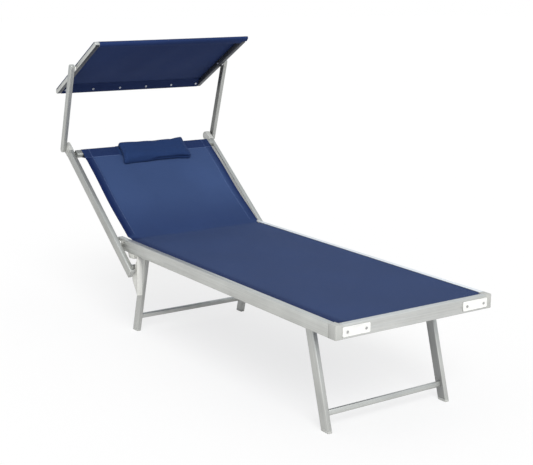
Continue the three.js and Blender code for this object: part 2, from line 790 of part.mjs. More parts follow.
// A crowned pillow with drawn-in sides and a seam round its edge, and the flap that hooks it over the sleeve
function addPillow(backrest) {
  const halfWidth = pillowWidth / 2;
  const halfLength = pillowLength / 2;
  const centreY = pillowUpperEdge - halfLength;
  const uSteps = 24;
  const vSteps = 14;
  const positions = [];
  const triangles = [];
  const index = new Map();
  const vertex = (i, j, side) => {
    const u = (2 * i) / uSteps - 1;
    const v = (2 * j) / vSteps - 1;
    const onSeam = Math.abs(u) === 1 || Math.abs(v) === 1;
    const key = `${i} ${j} ${onSeam ? 0 : side}`;
    if (!index.has(key)) {
      const x = pillowOffset + u * halfWidth - pillowDrawIn * Math.sign(u) * Math.abs(u) * (1 - v * v);
      const y = centreY + v * halfLength - pillowDrawIn * Math.sign(v) * Math.abs(v) * (1 - u * u);
      const fall = (1 - u ** pillowFlatness) * (1 - v ** pillowFlatness);
      const swell = onSeam ? 0 : fall ** pillowRoundness;
      const seam = backFabricTop(y) + fitGap + pillowBelly;
      const height = side > 0 ? pillowCrown * swell : -pillowBelly * swell;
      index.set(key, positions.length / 3);
      positions.push(x, y, seam + height);
    }
    return index.get(key);
  };
  for (let i = 0; i < uSteps; i += 1) {
    for (let j = 0; j < vSteps; j += 1) {
      const top = [vertex(i, j, 1), vertex(i + 1, j, 1), vertex(i + 1, j + 1, 1), vertex(i, j + 1, 1)];
      const base = [vertex(i, j, -1), vertex(i, j + 1, -1), vertex(i + 1, j + 1, -1), vertex(i + 1, j, -1)];
      for (const [a, b, c, d] of [top, base]) {
        triangles.push(a, b, c);
        triangles.push(a, c, d);
      }
    }
  }
  const cushion = new THREE.BufferGeometry();
  cushion.setAttribute('position', new THREE.BufferAttribute(new Float32Array(positions), 3));
  cushion.setIndex(triangles);

  const inside = sleeveAround(2 * fitGap + fabricThickness);
  const outside = sleeveAround(2 * fitGap + 2 * fabricThickness);
  const from = pillowOffset - halfWidth + pillowDrawIn;
  const to = pillowOffset + halfWidth - pillowDrawIn;
  const hook = runAcross(outline(outside, [inside]), from, to);
  const cutLow = sleeveTop() - fabricThickness;
  const past = topBarDepth + cutOverrun;
  const opening = boxBetween(
    [from - cutOverrun, topBarFromPivot - past, topBarRise - topBarHeight - past],
    [to + cutOverrun, topBarFromPivot, cutLow],
  );
  const flapStart = centreY - halfLength / 2;
  const flapBase = (y) => backFabricTop(y) + fitGap;
  const overlap = topBarFromPivot - topBarDepth / 4;
  const band = runAcross(
    outline([
      [flapStart, flapBase(flapStart)],
      [overlap, flapBase(overlap)],
      [topBarFromPivot, sleeveTop() + fitGap],
      [topBarFromPivot, sleeveTop() + fitGap + fabricThickness],
      [overlap, flapBase(overlap) + fabricThickness],
      [flapStart, flapBase(flapStart) + fabricThickness],
    ]),
    from,
    to,
  );
  const side = boxBetween(
    [from - cutOverrun, topBarFromPivot - past, topBarRise - topBarHeight - past],
    [to + cutOverrun, topBarFromPivot, sleeveTop() + past],
  );
  const flap = joined(cutBy(hook, opening, side), band);
  addPiece(backrest, 'head_pillow', joined(cushion, flap), 'pillowFabric');
}

// The arms carry the canopy. Local Y runs up the arms from the pivots in the tube caps.
function addCanopyArms(arms) {
  const middle = (armLength + armTopReach) / 2;
  const halfLength = middle + armDepth / 2;
  const outer = armInner + armWidth;
  const place = ([u, v]) => [u + middle, v];
  const skin = outline(roundEnded(halfLength, armDepth).map(place));
  const core = outline(roundEnded(halfLength - armWall, armDepth - 2 * armWall).map(place));
  for (const { name, sign } of sides) {
    const cavity = runAcross(core, sign * (armInner + armWall), sign * (outer - armWall));
    const inside = sign * (armInner - cutOverrun);
    const centre = sign * (armInner + armWidth / 2);
    const lower = pinAcross(armHubPinDiameter + 2 * fitGap, inside, centre);
    const upper = pinAcross(tiltHubPinDiameter + 2 * fitGap, inside, centre, armLength);
    const arm = cutBy(runAcross(skin, sign * armInner, sign * outer), cavity, lower, upper);
    addPiece(arms, `canopy_arm_${name}`, arm, 'aluminium');

    const pinStart = sign * (tubeOuter - hubPinReach);
    const hubPin = pinAcross(armHubPinDiameter, pinStart, sign * (armInner + hubPinReach));
    const hubDisc = pinAcross(armHubDiameter, sign * (tubeOuter + fitGap), sign * (armInner - fitGap));
    addPiece(arms, `canopy_arm_hub_${name}`, joined(hubPin, hubDisc), 'greyPlastic');

    const pinFrom = sign * (canopyOuter - hubPinReach);
    const pinTo = sign * (armInner + hubPinReach);
    const tiltPin = pinAcross(tiltHubPinDiameter, pinFrom, pinTo, armLength);
    const discFrom = sign * (canopyOuter + fitGap);
    const tiltDisc = pinAcross(tiltHubDiameter, discFrom, sign * (armInner - fitGap), armLength);
    addPiece(arms, `canopy_tilt_hub_${name}`, joined(tiltPin, tiltDisc), 'whitePlastic');
  }
}

function canopyBarPlace() {
  return canopyHalfDepth - canopyBarInset;
}

// Where a straight stretch of fabric, coming from a point, meets the circle round a bar
function tangentAngle(point, centre, radius) {
  const du = point[0] - centre;
  const dv = point[1];
  const away = Math.acos(radius / Math.hypot(du, dv));
  return THREE.MathUtils.radToDeg(Math.atan2(dv, du) + away);
}

// The sleeve at the rear, or mirrored at the front: its outer turn, its tunnel and its inner end
function canopySleeve(length) {
  const centre = canopyBarPlace();
  const outer = canopyBarDiameter / 2 + fitGap + fabricThickness;
  const inner = outer - fabricThickness;
  const start = [centre - length, inner];
  const apex = [centre - length + sleeveApexInset, inner - fitGap];
  const outerEnd = tangentAngle(start, centre, outer) - 360;
  const innerEnd = tangentAngle(apex, centre, inner) - 360;
  return {
    turn: arcPoints(centre, 0, outer, 90, outerEnd, 14),
    tunnel: [apex, ...arcPoints(centre, 0, inner, 90, innerEnd, 14)],
    start,
    outerEnd,
  };
}

// One panel lies over the bars and the side tubes, with a sleeve round each bar.
function addCanopyFabric(canopy) {
  const rear = canopySleeve(rearSleeveLength);
  const front = canopySleeve(frontSleeveLength);
  const mirrored = (points) => points.map(([u, v]) => [-u, v]);
  const edge = [...rear.turn, rear.start, ...mirrored([...front.turn, front.start]).reverse()];
  const reach = canopyInner - canopyFabricMargin;
  const band = runAcross(outline(edge, [rear.tunnel, mirrored(front.tunnel)]), -reach, reach);
  const under = canopyBarDiameter / 2 + fitGap;
  const end = canopyBarPlace();
  const panel = boxBetween([-canopyOuter, -end, under], [canopyOuter, end, under + fabricThickness]);
  addPiece(canopy, 'canopy_fabric', joined(band, panel), 'navyFabric');
}

function addCanopySnaps(canopy) {
  const { turn, start, outerEnd } = canopySleeve(rearSleeveLength);
  const end = turn[turn.length - 1];
  const placeShare = 0.72;
  const lift = fitGap + snapHeight / 2;
  const angle = radians(outerEnd);
  const y = start[0] + (end[0] - start[0]) * placeShare + lift * Math.cos(angle);
  const z = start[1] + (end[1] - start[1]) * placeShare + lift * Math.sin(angle);
  const count = 6;
  const reach = canopyInner - canopyFabricMargin - snapEndInset;
  for (let i = 0; i < count; i += 1) {
    const x = reach * ((2 * i) / (count - 1) - 1);
    const disc = new THREE.CylinderGeometry(snapDiameter / 2, snapDiameter / 2, snapHeight, holeSides);
    disc.rotateX(angle).translate(x, y, z);
    addPiece(canopy, `canopy_snap_${i + 1}`, disc, 'steel');
  }
}

function addCanopyFrame(canopy) {
  const skin = outline(roundEnded(canopyHalfDepth, canopyTubeHeight));
  const inner = canopyTubeHeight - 2 * canopyTubeWall;
  const core = outline(roundEnded(canopyHalfDepth - canopyTubeWall, inner));
  for (const { name, sign } of sides) {
    const cavityFrom = sign * (canopyInner + canopyTubeWall);
    const cavity = runAcross(core, cavityFrom, sign * (canopyOuter - canopyTubeWall));
    const middle = sign * (canopyOuter - canopyTubeWidth / 2);
    const outside = sign * (canopyOuter + cutOverrun);
    const hole = pinAcross(tiltHubPinDiameter + 2 * fitGap, middle, outside);
    const tube = cutBy(runAcross(skin, sign * canopyInner, sign * canopyOuter), cavity, hole);
    addPiece(canopy, `canopy_side_tube_${name}`, tube, 'aluminium');
  }
  const reach = canopyInner - fitGap;
  const radius = canopyBarDiameter / 2;
  for (const [name, sign] of [['front', -1], ['rear', 1]]) {
    const centre = sign * canopyBarPlace();
    const section = outline(
      arcPoints(centre, 0, radius, 0, 345, 23),
      [arcPoints(centre, 0, radius - canopyBarWall, 0, 345, 23)],
    );
    addPiece(canopy, `canopy_${name}_bar`, runAcross(section, -reach, reach), 'darkAluminium');
  }
}

const lounger = new THREE.Group();

addSideRails(lounger);
addFootRail(lounger);
addCornerConnectors(lounger);
addBumperPlates(lounger);
addLegHinges(lounger, 'front', frontAxleFromFoot);
addLegHinges(lounger, 'rear', rearAxleFromFoot);
addReclineRacks(lounger);
addReclinePivots(lounger);
addSeatSling(lounger);
addLegPair(lounger, 'front', frontAxleFromFoot, -frontLegAngle, frontBarHeight);
addLegPair(lounger, 'rear', rearAxleFromFoot, rearLegAngle, rearBarHeight);

const backrest = new THREE.Group();
backrest.position.set(0, pivotFromFoot, pivotHeight);
backrest.rotation.x = radians(reclineAngle);
lounger.add(backrest);
addBackrestTubes(backrest);
addTopBar(backrest);
addBackrestSling(backrest);
addPillow(backrest);

const arms = new THREE.Group();
arms.position.set(0, capPivot, 0);
arms.rotation.x = radians(90 + armLean - reclineAngle);
backrest.add(arms);
addCanopyArms(arms);

const canopy = new THREE.Group();
canopy.position.set(0, armLength, 0);
canopy.rotation.x = radians(-canopySlope - 90 - armLean);
arms.add(canopy);
addCanopyFrame(canopy);
addCanopyFabric(canopy);
addCanopySnaps(canopy);

// The origin goes to the middle of the footprint, on the floor.
lounger.updateMatrixWorld(true);
const extent = new THREE.Box3().setFromObject(lounger, true);
lounger.position.y = -(extent.min.y + extent.max.y) / 2;
lounger.updateMatrixWorld(true);

export default lounger;
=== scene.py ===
# %% [markdown]
# # A folding sun lounger with a canopy
# The object is a beach lounger: an aluminium bed on two folding pairs of legs, a backrest that rests
# in notched racks, a sling of navy mesh cloth, a small head pillow, and a sunshade on two arms.
# The frame gives every rigid part at its real size and place. This lesson gives each part its surface:
# rounded edges, metal and plastic finishes, and new meshes for everything that is cloth.

# %% Load the frame
import json
import math

import bpy
from mathutils import Matrix, Vector

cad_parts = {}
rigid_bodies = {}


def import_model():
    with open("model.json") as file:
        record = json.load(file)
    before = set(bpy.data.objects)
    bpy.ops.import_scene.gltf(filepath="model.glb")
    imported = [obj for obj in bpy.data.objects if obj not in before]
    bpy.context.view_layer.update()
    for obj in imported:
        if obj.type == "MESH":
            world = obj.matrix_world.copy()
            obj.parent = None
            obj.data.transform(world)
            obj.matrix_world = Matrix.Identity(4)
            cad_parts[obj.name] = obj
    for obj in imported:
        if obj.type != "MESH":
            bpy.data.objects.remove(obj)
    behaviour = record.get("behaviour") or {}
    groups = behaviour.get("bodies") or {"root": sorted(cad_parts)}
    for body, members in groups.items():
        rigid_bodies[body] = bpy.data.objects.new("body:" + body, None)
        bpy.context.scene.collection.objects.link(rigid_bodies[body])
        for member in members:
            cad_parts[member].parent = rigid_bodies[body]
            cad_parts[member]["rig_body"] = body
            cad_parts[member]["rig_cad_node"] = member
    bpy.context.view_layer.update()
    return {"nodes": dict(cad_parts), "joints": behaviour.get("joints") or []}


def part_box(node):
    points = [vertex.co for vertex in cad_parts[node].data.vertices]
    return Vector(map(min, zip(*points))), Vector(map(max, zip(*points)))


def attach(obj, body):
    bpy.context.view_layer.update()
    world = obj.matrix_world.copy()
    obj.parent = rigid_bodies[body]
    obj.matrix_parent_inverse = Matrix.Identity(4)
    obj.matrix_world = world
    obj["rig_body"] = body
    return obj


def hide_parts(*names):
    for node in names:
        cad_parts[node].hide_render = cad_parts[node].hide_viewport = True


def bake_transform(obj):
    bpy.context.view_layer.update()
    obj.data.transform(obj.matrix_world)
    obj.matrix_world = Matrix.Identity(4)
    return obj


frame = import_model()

print("nodes in the frame:", len(frame["nodes"]))

# %% [markdown]
# Angles that the real lounger is set to. The joints' places come from the frame, so a later change of
# size in the frame moves the cloth with it. A point on the backrest or on the canopy is easiest to give
# in two numbers, along the tubes and out of the cloth, so one helper turns such a pair into a place.

# %% Angles, joints and local places
recline = math.radians(37.6)
arm_lean = math.radians(16.6)
canopy_slope = math.radians(30.2)
front_leg_angle = math.radians(16.4)
rear_leg_angle = math.radians(14.5)
millimetre = 0.001

joint_places = {joint["name"]: Vector(joint["pos_m"]) for joint in frame["joints"]}
recline_pivot = joint_places["backrest_recline"]
tilt_pivot = joint_places["canopy_tilt"]


def side_place(pivot, angle, along, out):
    """The (y, z) of a point, given along and out from a pivot whose parts are turned up by an angle."""
    y = pivot.y + along * math.cos(angle) - out * math.sin(angle)
    z = pivot.z + along * math.sin(angle) + out * math.cos(angle)
    return y, z


def on_backrest(along, out):
    """A side view point of the backrest, given in millimetres from the recline pivot."""
    return side_place(recline_pivot, recline, along * millimetre, out * millimetre)


def on_canopy(along, out):
    """A side view point of the canopy, given in millimetres from the tilt pivot."""
    return side_place(tilt_pivot, -canopy_slope, along * millimetre, out * millimetre)


print("recline pivot:", recline_pivot, "tilt pivot:", tilt_pivot)

# %% [markdown]
# ## Camera
# The photograph was taken from the foot end, left of the bed and a little above it, with a long lens.
# A camera can be moved by hand until it seems to fit, but then lens and distance stay a guess. This one
# was worked out from the straight rails and the four feet. Its three axes are built from the compass
# angle, the height angle and a small roll, which is easier to check than Euler angles.

# %% Camera at the photograph's place
foot_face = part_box("foot_rail")[0].y
eye = Vector((-2.3202, foot_face - 2.5159, 1.4050))
compass = math.radians(-34.6926)
height_angle = math.radians(12.7603)
roll = math.radians(0.5451)
focal_pixels = 1128.08
photo_width = 533
sensor = 36.0

level_right = Vector((math.cos(compass), math.sin(compass), 0))
backward = Vector((
    math.sin(compass) * math.cos(height_angle),
    -math.cos(compass) * math.cos(height_angle),
    math.sin(height_angle),
))
level_up = backward.cross(level_right)
right = level_right * math.cos(roll) + level_up * math.sin(roll)
up = level_up * math.cos(roll) - level_right * math.sin(roll)

bpy.ops.object.camera_add(location=eye)
camera = bpy.context.object
camera.name = "photo_camera"
camera.matrix_world = Matrix.Translation(eye) @ Matrix((right, up, backward)).transposed().to_4x4()
camera.data.sensor_width = sensor
camera.data.lens = focal_pixels / photo_width * sensor
bpy.context.scene.camera = camera
print("lens in millimetres:", round(camera.data.lens, 2))

# %% [markdown]
# ## Light and floor
# The photograph is a cut-out on white with soft grey shadows. A wide sun gives the soft key light from
# the left and in front, and an even world fills the shadows. Brighter lamps would make the page white
# too, but they would bleach the object. Instead, Light Path tells which kind of ray looks: the camera
# and mirrors see a white page, and light that is only gathered comes from a dimmer world and floor.

# %% Helpers for shader nodes
def fill_socket(tree, socket, value):
    """Links a socket to another node's output, or sets it to a plain value."""
    if isinstance(value, bpy.types.NodeSocket):
        tree.links.new(value, socket)
    else:
        socket.default_value = value


def add_node(tree, kind, settings=None, **inputs):
    """Adds a node, sets its options, and fills or links its inputs by name."""
    node = tree.nodes.new(kind)
    for key, value in (settings or {}).items():
        setattr(node, key, value)
    for key, value in inputs.items():
        fill_socket(tree, node.inputs[key.replace("_", " ")], value)
    return node


def reckon(tree, operation, *values):
    """A Math node on sockets or numbers, as one output."""
    node = add_node(tree, "ShaderNodeMath", {"operation": operation})
    for socket, value in zip(node.inputs, values):
        fill_socket(tree, socket, value)
    return node.outputs[0]


def choose(tree, share, first, second):
    """A Mix Shader node: the first shader where the share is 0, and the second where it is 1."""
    mix = add_node(tree, "ShaderNodeMixShader", Fac=share)
    tree.links.new(first.outputs[0], mix.inputs[1])
    tree.links.new(second.outputs[0], mix.inputs[2])
    return mix


def seen_directly(tree):
    """1 where a camera, mirror or glass ray looks, and 0 where light is only gathered."""
    rays = tree.nodes.new("ShaderNodeLightPath").outputs
    mirror = reckon(tree, "MAXIMUM", rays["Is Glossy Ray"], rays["Is Transmission Ray"])
    return reckon(tree, "MAXIMUM", rays["Is Camera Ray"], mirror)


# %% [markdown]
# Mirrors see the world a little bluer than the camera does, and with a dimmer band at the horizon, so
# that round metal shows a soft change of tone, as in a studio. In a world, Generated is the direction of
# the ray, and the size of its Z tells how far from the horizon the ray goes.

# %% The world
white = (1, 1, 1, 1)
fill_level = 0.55
mirrored_white = (0.92, 0.97, 1.02, 1)
horizon_level = 0.85
horizon_rise = 1.6

bpy.context.scene.view_settings.view_transform = "Standard"
world = bpy.data.worlds.new("studio")
bpy.context.scene.world = world
world.use_nodes = True
sky = world.node_tree
sky.nodes.clear()
ray_direction = sky.nodes.new("ShaderNodeTexCoord").outputs["Generated"]
ray_height = add_node(sky, "ShaderNodeSeparateXYZ", Vector=ray_direction).outputs["Z"]
from_horizon = reckon(sky, "MULTIPLY", reckon(sky, "ABSOLUTE", ray_height), horizon_rise)
above_band = reckon(sky, "MULTIPLY", reckon(sky, "MINIMUM", from_horizon, 1.0), 1.0 - horizon_level)
banded = reckon(sky, "ADD", above_band, horizon_level)
in_camera = sky.nodes.new("ShaderNodeLightPath").outputs["Is Camera Ray"]
page_level = reckon(sky, "MAXIMUM", banded, in_camera)
page_colour = add_node(sky, "ShaderNodeMixRGB", Fac=in_camera, Color1=mirrored_white, Color2=white)
page = add_node(sky, "ShaderNodeBackground", Color=page_colour.outputs[0], Strength=page_level)
fill = add_node(sky, "ShaderNodeBackground", Color=white, Strength=fill_level)
either_light = choose(sky, seen_directly(sky), fill, page)
add_node(sky, "ShaderNodeOutputWorld", Surface=either_light.outputs[0])
print("world nodes:", len(sky.nodes))

# %% [markdown]
# The key light is a sun and no lamp nearby, so that it is equally strong over the whole lounger. Its
# width makes its shadow soft: the real sun is half a degree wide, and this one is as wide as a softbox.

# %% The sun
sun_level = 2.05
sun_width = math.radians(32)
sun_direction = Vector((0.38, 0.80, -0.70))

bpy.ops.object.light_add(type="SUN", location=(-2, -3, 4))
sun = bpy.context.object
sun.name = "soft_sun"
sun.data.energy = sun_level
sun.data.angle = sun_width
sun.rotation_euler = sun_direction.to_track_quat("-Z", "Y").to_euler()
print("sun turned to:", [round(math.degrees(angle), 1) for angle in sun.rotation_euler])

# %% [markdown]
# The floor is grey for gathered light. The camera sees it as white paper that mostly glows by itself, so
# only the rest of its brightness can fall into shadow, which keeps the shadow pale. Mirrors see less of
# the glow, and it gets stronger in front and to the left of the object. It stands there for the low
# softbox that lit the near tubes, and unlike a lamp it doesn't brighten cloth or floor.

# %% The floor
floor_width = 60
floor_bounce = 0.75
page_share = 0.71
page_glow = 1.025
mirrored_page_share = 0.3
softbox_level = 3.0
softbox_side = (-0.8, -0.6, 0)
softbox_start, softbox_full = 1.0, 2.0

bpy.ops.object.select_all(action="DESELECT")
bpy.ops.mesh.primitive_plane_add(size=floor_width)
floor = bpy.context.object
floor.name = "floor"
floor_finish = bpy.data.materials.new("pale_floor")
floor_finish.use_nodes = True
ground = floor_finish.node_tree
ground.nodes.clear()
bounce = add_node(ground, "ShaderNodeBsdfDiffuse", Color=(floor_bounce, floor_bounce, floor_bounce, 1))
paper = add_node(ground, "ShaderNodeBsdfDiffuse", Color=white)
floor_place = ground.nodes.new("ShaderNodeNewGeometry").outputs["Position"]
in_front = add_node(ground, "ShaderNodeVectorMath", {"operation": "DOT_PRODUCT"}, Vector=floor_place)
in_front.inputs[1].default_value = softbox_side
softbox = add_node(ground, "ShaderNodeMapRange", Value=in_front.outputs["Value"],
                   From_Min=softbox_start, From_Max=softbox_full, To_Min=1.0, To_Max=softbox_level)
floor_camera = ground.nodes.new("ShaderNodeLightPath").outputs["Is Camera Ray"]
brightness = add_node(ground, "ShaderNodeMapRange", Value=floor_camera,
                      To_Min=softbox.outputs["Result"], To_Max=page_glow)
glow = add_node(ground, "ShaderNodeEmission", Color=white, Strength=brightness.outputs["Result"])
glow_share = add_node(ground, "ShaderNodeMapRange", Value=floor_camera,
                      To_Min=mirrored_page_share, To_Max=page_share)
shown = choose(ground, glow_share.outputs["Result"], paper, glow)
either_floor = choose(ground, seen_directly(ground), bounce, shown)
add_node(ground, "ShaderNodeOutputMaterial", Surface=either_floor.outputs[0])
floor.data.materials.append(floor_finish)
print("floor nodes:", len(ground.nodes))

# %% [markdown]
# ## Finishes
# Colours are written as on a colour card, in six hexadecimal digits, and turned into the linear numbers
# that shaders use. Each finish gets small differences from noise: a real surface is never one colour.
# Pictures could give such differences too, but noise in a piece's own space needs no file and no seams.

# %% Colours
def tint(code):
    """A six-digit colour as linear red, green, blue and alpha, by the sRGB curve."""
    parts = [int(code[i:i + 2], 16) / 255 for i in (0, 2, 4)]
    linear = [p / 12.92 if p <= 0.04045 else ((p + 0.055) / 1.055) ** 2.4 for p in parts]
    return (*linear, 1.0)


def darkened(colour, share):
    return tuple(part * share for part in colour[:3]) + (1.0,)


print("white is", tint("FFFFFF"), "and middle grey is", tint("808080"))

# %% [markdown]
# A noise texture gives values round 0.5, and hardly any below 0.3 or above 0.7. The helpers spread those
# values over two colours or over a range of roughness.

# %% Noise and other steps that finishes share
noise_low, noise_high = 0.3, 0.7


def new_finish(name):
    finish = bpy.data.materials.new(name)
    finish.use_nodes = True
    return finish, finish.node_tree, finish.node_tree.nodes["Principled BSDF"]


def object_place(tree):
    return tree.nodes.new("ShaderNodeTexCoord").outputs["Object"]


def noise(tree, place, scale, detail=2.0):
    texture = add_node(tree, "ShaderNodeTexNoise", Vector=place, Scale=scale, Detail=detail)
    return texture.outputs["Fac"]


def two_tone(tree, factor, low_colour, high_colour, low=noise_low, high=noise_high):
    """Goes from one colour to another as the factor goes from low to high."""
    ramp = add_node(tree, "ShaderNodeValToRGB", Fac=factor)
    first, last = ramp.color_ramp.elements
    first.position, first.color = low, low_colour
    last.position, last.color = high, high_colour
    return ramp.outputs["Color"]


def in_range(tree, value, low, high):
    """Spreads a noise value, which is mostly from 0.3 to 0.7, over a chosen range."""
    mapped = add_node(tree, "ShaderNodeMapRange", Value=value, From_Min=noise_low, From_Max=noise_high,
                      To_Min=low, To_Max=high)
    return mapped.outputs["Result"]


def scaled(tree, colour, factor):
    """A colour made lighter or darker by a factor."""
    node = add_node(tree, "ShaderNodeVectorMath", {"operation": "SCALE"}, Vector=colour, Scale=factor)
    return node.outputs[0]


def add_relief(tree, shader, height, strength, depth):
    """Lets light see a fine relief that is too small for the mesh."""
    relief = add_node(tree, "ShaderNodeBump", Height=height, Strength=strength, Distance=depth)
    tree.links.new(relief.outputs[0], shader.inputs["Normal"])


# %% [markdown]
# Extruded aluminium has fine lines along the tube from the die, and dull smudges from handling. The
# lines are finer than a pixel, so they aren't modelled: a noise that is stretched along the tube gives
# them. The tubes lean, so the coordinates are first turned back by the tube's lean, and then squeezed
# across it. Metallic is less than 1, because anodised metal has a clear, slightly chalky skin.

# %% Aluminium
line_scales = {"x": (5, 420, 420), "y": (420, 5, 420), "z": (420, 420, 5)}
line_shade = 0.86
line_depth = 0.0002
smudge_scale = 9.0
metal_share = 0.72


def aluminium(name, colour, along, lean=0.0, roughness=0.42):
    finish, tree, shader = new_finish(name)
    place = object_place(tree)
    turned = add_node(tree, "ShaderNodeVectorRotate", {"rotation_type": "X_AXIS"},
                      Vector=place, Angle=-lean)
    squeezed = add_node(tree, "ShaderNodeMapping", Vector=turned.outputs[0], Scale=line_scales[along])
    lines = noise(tree, squeezed.outputs[0], 1.0, 3.0)
    smudges = noise(tree, place, smudge_scale, 4.0)
    lined = two_tone(tree, lines, darkened(colour, line_shade), colour)
    smudged = scaled(tree, lined, in_range(tree, smudges, 0.93, 1.04))
    dullness = in_range(tree, smudges, roughness + 0.08, roughness - 0.04)
    tree.links.new(smudged, shader.inputs["Base Color"])
    tree.links.new(dullness, shader.inputs["Roughness"])
    add_relief(tree, shader, lines, 0.12, line_depth)
    shader.inputs["Metallic"].default_value = metal_share
    return finish


silver = tint("C9CAC6")
rail_metal = aluminium("rail_aluminium", silver, "y")
# Painted light and painted shade: the foot rail's lighter silver and the backrest tubes' darker silver
# are the rails' aluminium, set lighter or darker by how brightly each is lit.
painted_light_foot_rail_metal = aluminium("foot_rail_painted_light_aluminium", tint("D1D2CF"), "x")
tube_metal = aluminium("backrest_tube_aluminium", tint("B6B7B3"), "y", recline)
front_leg_metal = aluminium("front_leg_aluminium", silver, "z", -front_leg_angle)
rear_leg_metal = aluminium("rear_leg_aluminium", silver, "z", rear_leg_angle)
crossbar_metal = aluminium("crossbar_aluminium", silver, "x")
arm_metal = aluminium("arm_aluminium", tint("BCBDB9"), "z", arm_lean)
canopy_tube_metal = aluminium("canopy_tube_aluminium", silver, "y", -canopy_slope)
bar_metal = aluminium("hidden_bar_aluminium", tint("ACAEAA"), "x", roughness=0.45)
print("aluminium nodes:", len(rail_metal.node_tree.nodes))

# %% [markdown]
# Screws, snaps and axles are zinc-plated steel: greyer, with fine mottling in place of lines. Moulded
# plastic is the opposite of metal: no reflection colour, a fine matt grain, and faint dusty patches. Each
# kind is one function, so that its colours differ and the way it takes light stays the same.

# %% Steel and plastics
def plated_steel(name, colour, roughness):
    finish, tree, shader = new_finish(name)
    mottle = noise(tree, object_place(tree), 700.0)
    mottled = two_tone(tree, mottle, darkened(colour, 0.8), colour)
    dullness = in_range(tree, mottle, roughness, roughness + 0.1)
    tree.links.new(mottled, shader.inputs["Base Color"])
    tree.links.new(dullness, shader.inputs["Roughness"])
    shader.inputs["Metallic"].default_value = 1.0
    return finish


def moulded_plastic(name, colour, roughness):
    finish, tree, shader = new_finish(name)
    place = object_place(tree)
    grain = noise(tree, place, 1500.0, 1.0)
    patches = noise(tree, place, 28.0, 5.0)
    dusty = two_tone(tree, patches, darkened(colour, 0.92), colour, 0.25, 0.5)
    dullness = in_range(tree, patches, roughness + 0.12, roughness)
    tree.links.new(dusty, shader.inputs["Base Color"])
    tree.links.new(dullness, shader.inputs["Roughness"])
    add_relief(tree, shader, grain, 0.15, 0.0001)
    shader.inputs["Specular IOR Level"].default_value = 0.45
    return finish


steel = plated_steel("plated_steel", tint("C4C4C2"), 0.3)
snap_steel = plated_steel("bright_snap_steel", tint("C8CCD4"), 0.3)
grey_plastic = moulded_plastic("grey_plastic", tint("C2C3BF"), 0.5)
white_plastic = moulded_plastic("white_plastic", tint("FAFAF7"), 0.38)
# The racks are the same white plastic as the pivots, painted a little darker as shade under the rails.
painted_shade_rack_plastic = moulded_plastic("painted_shade_rack_plastic", tint("EAEAE4"), 0.45)
print("steel and plastic finishes:", steel.name, snap_steel.name, grey_plastic.name,
      white_plastic.name, painted_shade_rack_plastic.name)

# %% [markdown]
# Stitches are drawn by the shader: a thin dash where the cloth is close to a seam line. Real thread
# could be modelled, but at this size a dash 0.9 mm wide looks the same. A mesh that has seams stores
# each point's distance from them in two point attributes, seam_x and seam_y.

# %% Stitches
stitch_length = 0.0055
stitch_share = 0.62
stitch_width = 0.0009
stitch_colour = tint("7488B4")


def dashes(tree, distance, run):
    """1 on the dashes of a seam, from the distance to its line and the way along it."""
    near = reckon(tree, "LESS_THAN", reckon(tree, "ABSOLUTE", distance), stitch_width / 2)
    step = reckon(tree, "FRACT", reckon(tree, "DIVIDE", run, stitch_length))
    return reckon(tree, "MULTIPLY", near, reckon(tree, "LESS_THAN", step, stitch_share))


def stitch_mask(tree, parts):
    """Seams along the cloth are where seam_x is 0, and seams across it where seam_y is 0."""
    across = add_node(tree, "ShaderNodeAttribute", {"attribute_name": "seam_x"}).outputs["Fac"]
    along = add_node(tree, "ShaderNodeAttribute", {"attribute_name": "seam_y"}).outputs["Fac"]
    return reckon(tree, "MAXIMUM", dashes(tree, across, parts["Y"]), dashes(tree, along, parts["X"]))


print("stitches to the metre:", round(1 / stitch_length))

# %% [markdown]
# The sling cloth is a mesh weave of coated threads, about 1.3 mm from thread to thread. Its colour is
# navy with a lighter fleck where a thread comes up. Modelled threads would need millions of faces, so
# two crossed sine waves in the shader stand for them. They read the cloth's own UV map, which is in
# metres, so it follows the cloth round the bars. The pillow is remeshed later and loses its UV map, so
# its cloth reads object coordinates, turned to lie with the backrest. The point attribute "shade"
# multiplies the colour towards a darker one: partly for cloth that lies double, and partly as painted
# shade, for the frame's shadow and for light that doesn't come through the cloth from behind.

# %% Woven cloth
weave = 0.0013
fine_weave = 0.0009
# The colour that painted shade, and cloth lying double, multiply the cloth's colour towards.
double_cloth_and_painted_shade = (0.02, 0.15, 0.38, 1.0)
sheen_blue = (0.55, 0.65, 0.85, 1.0)


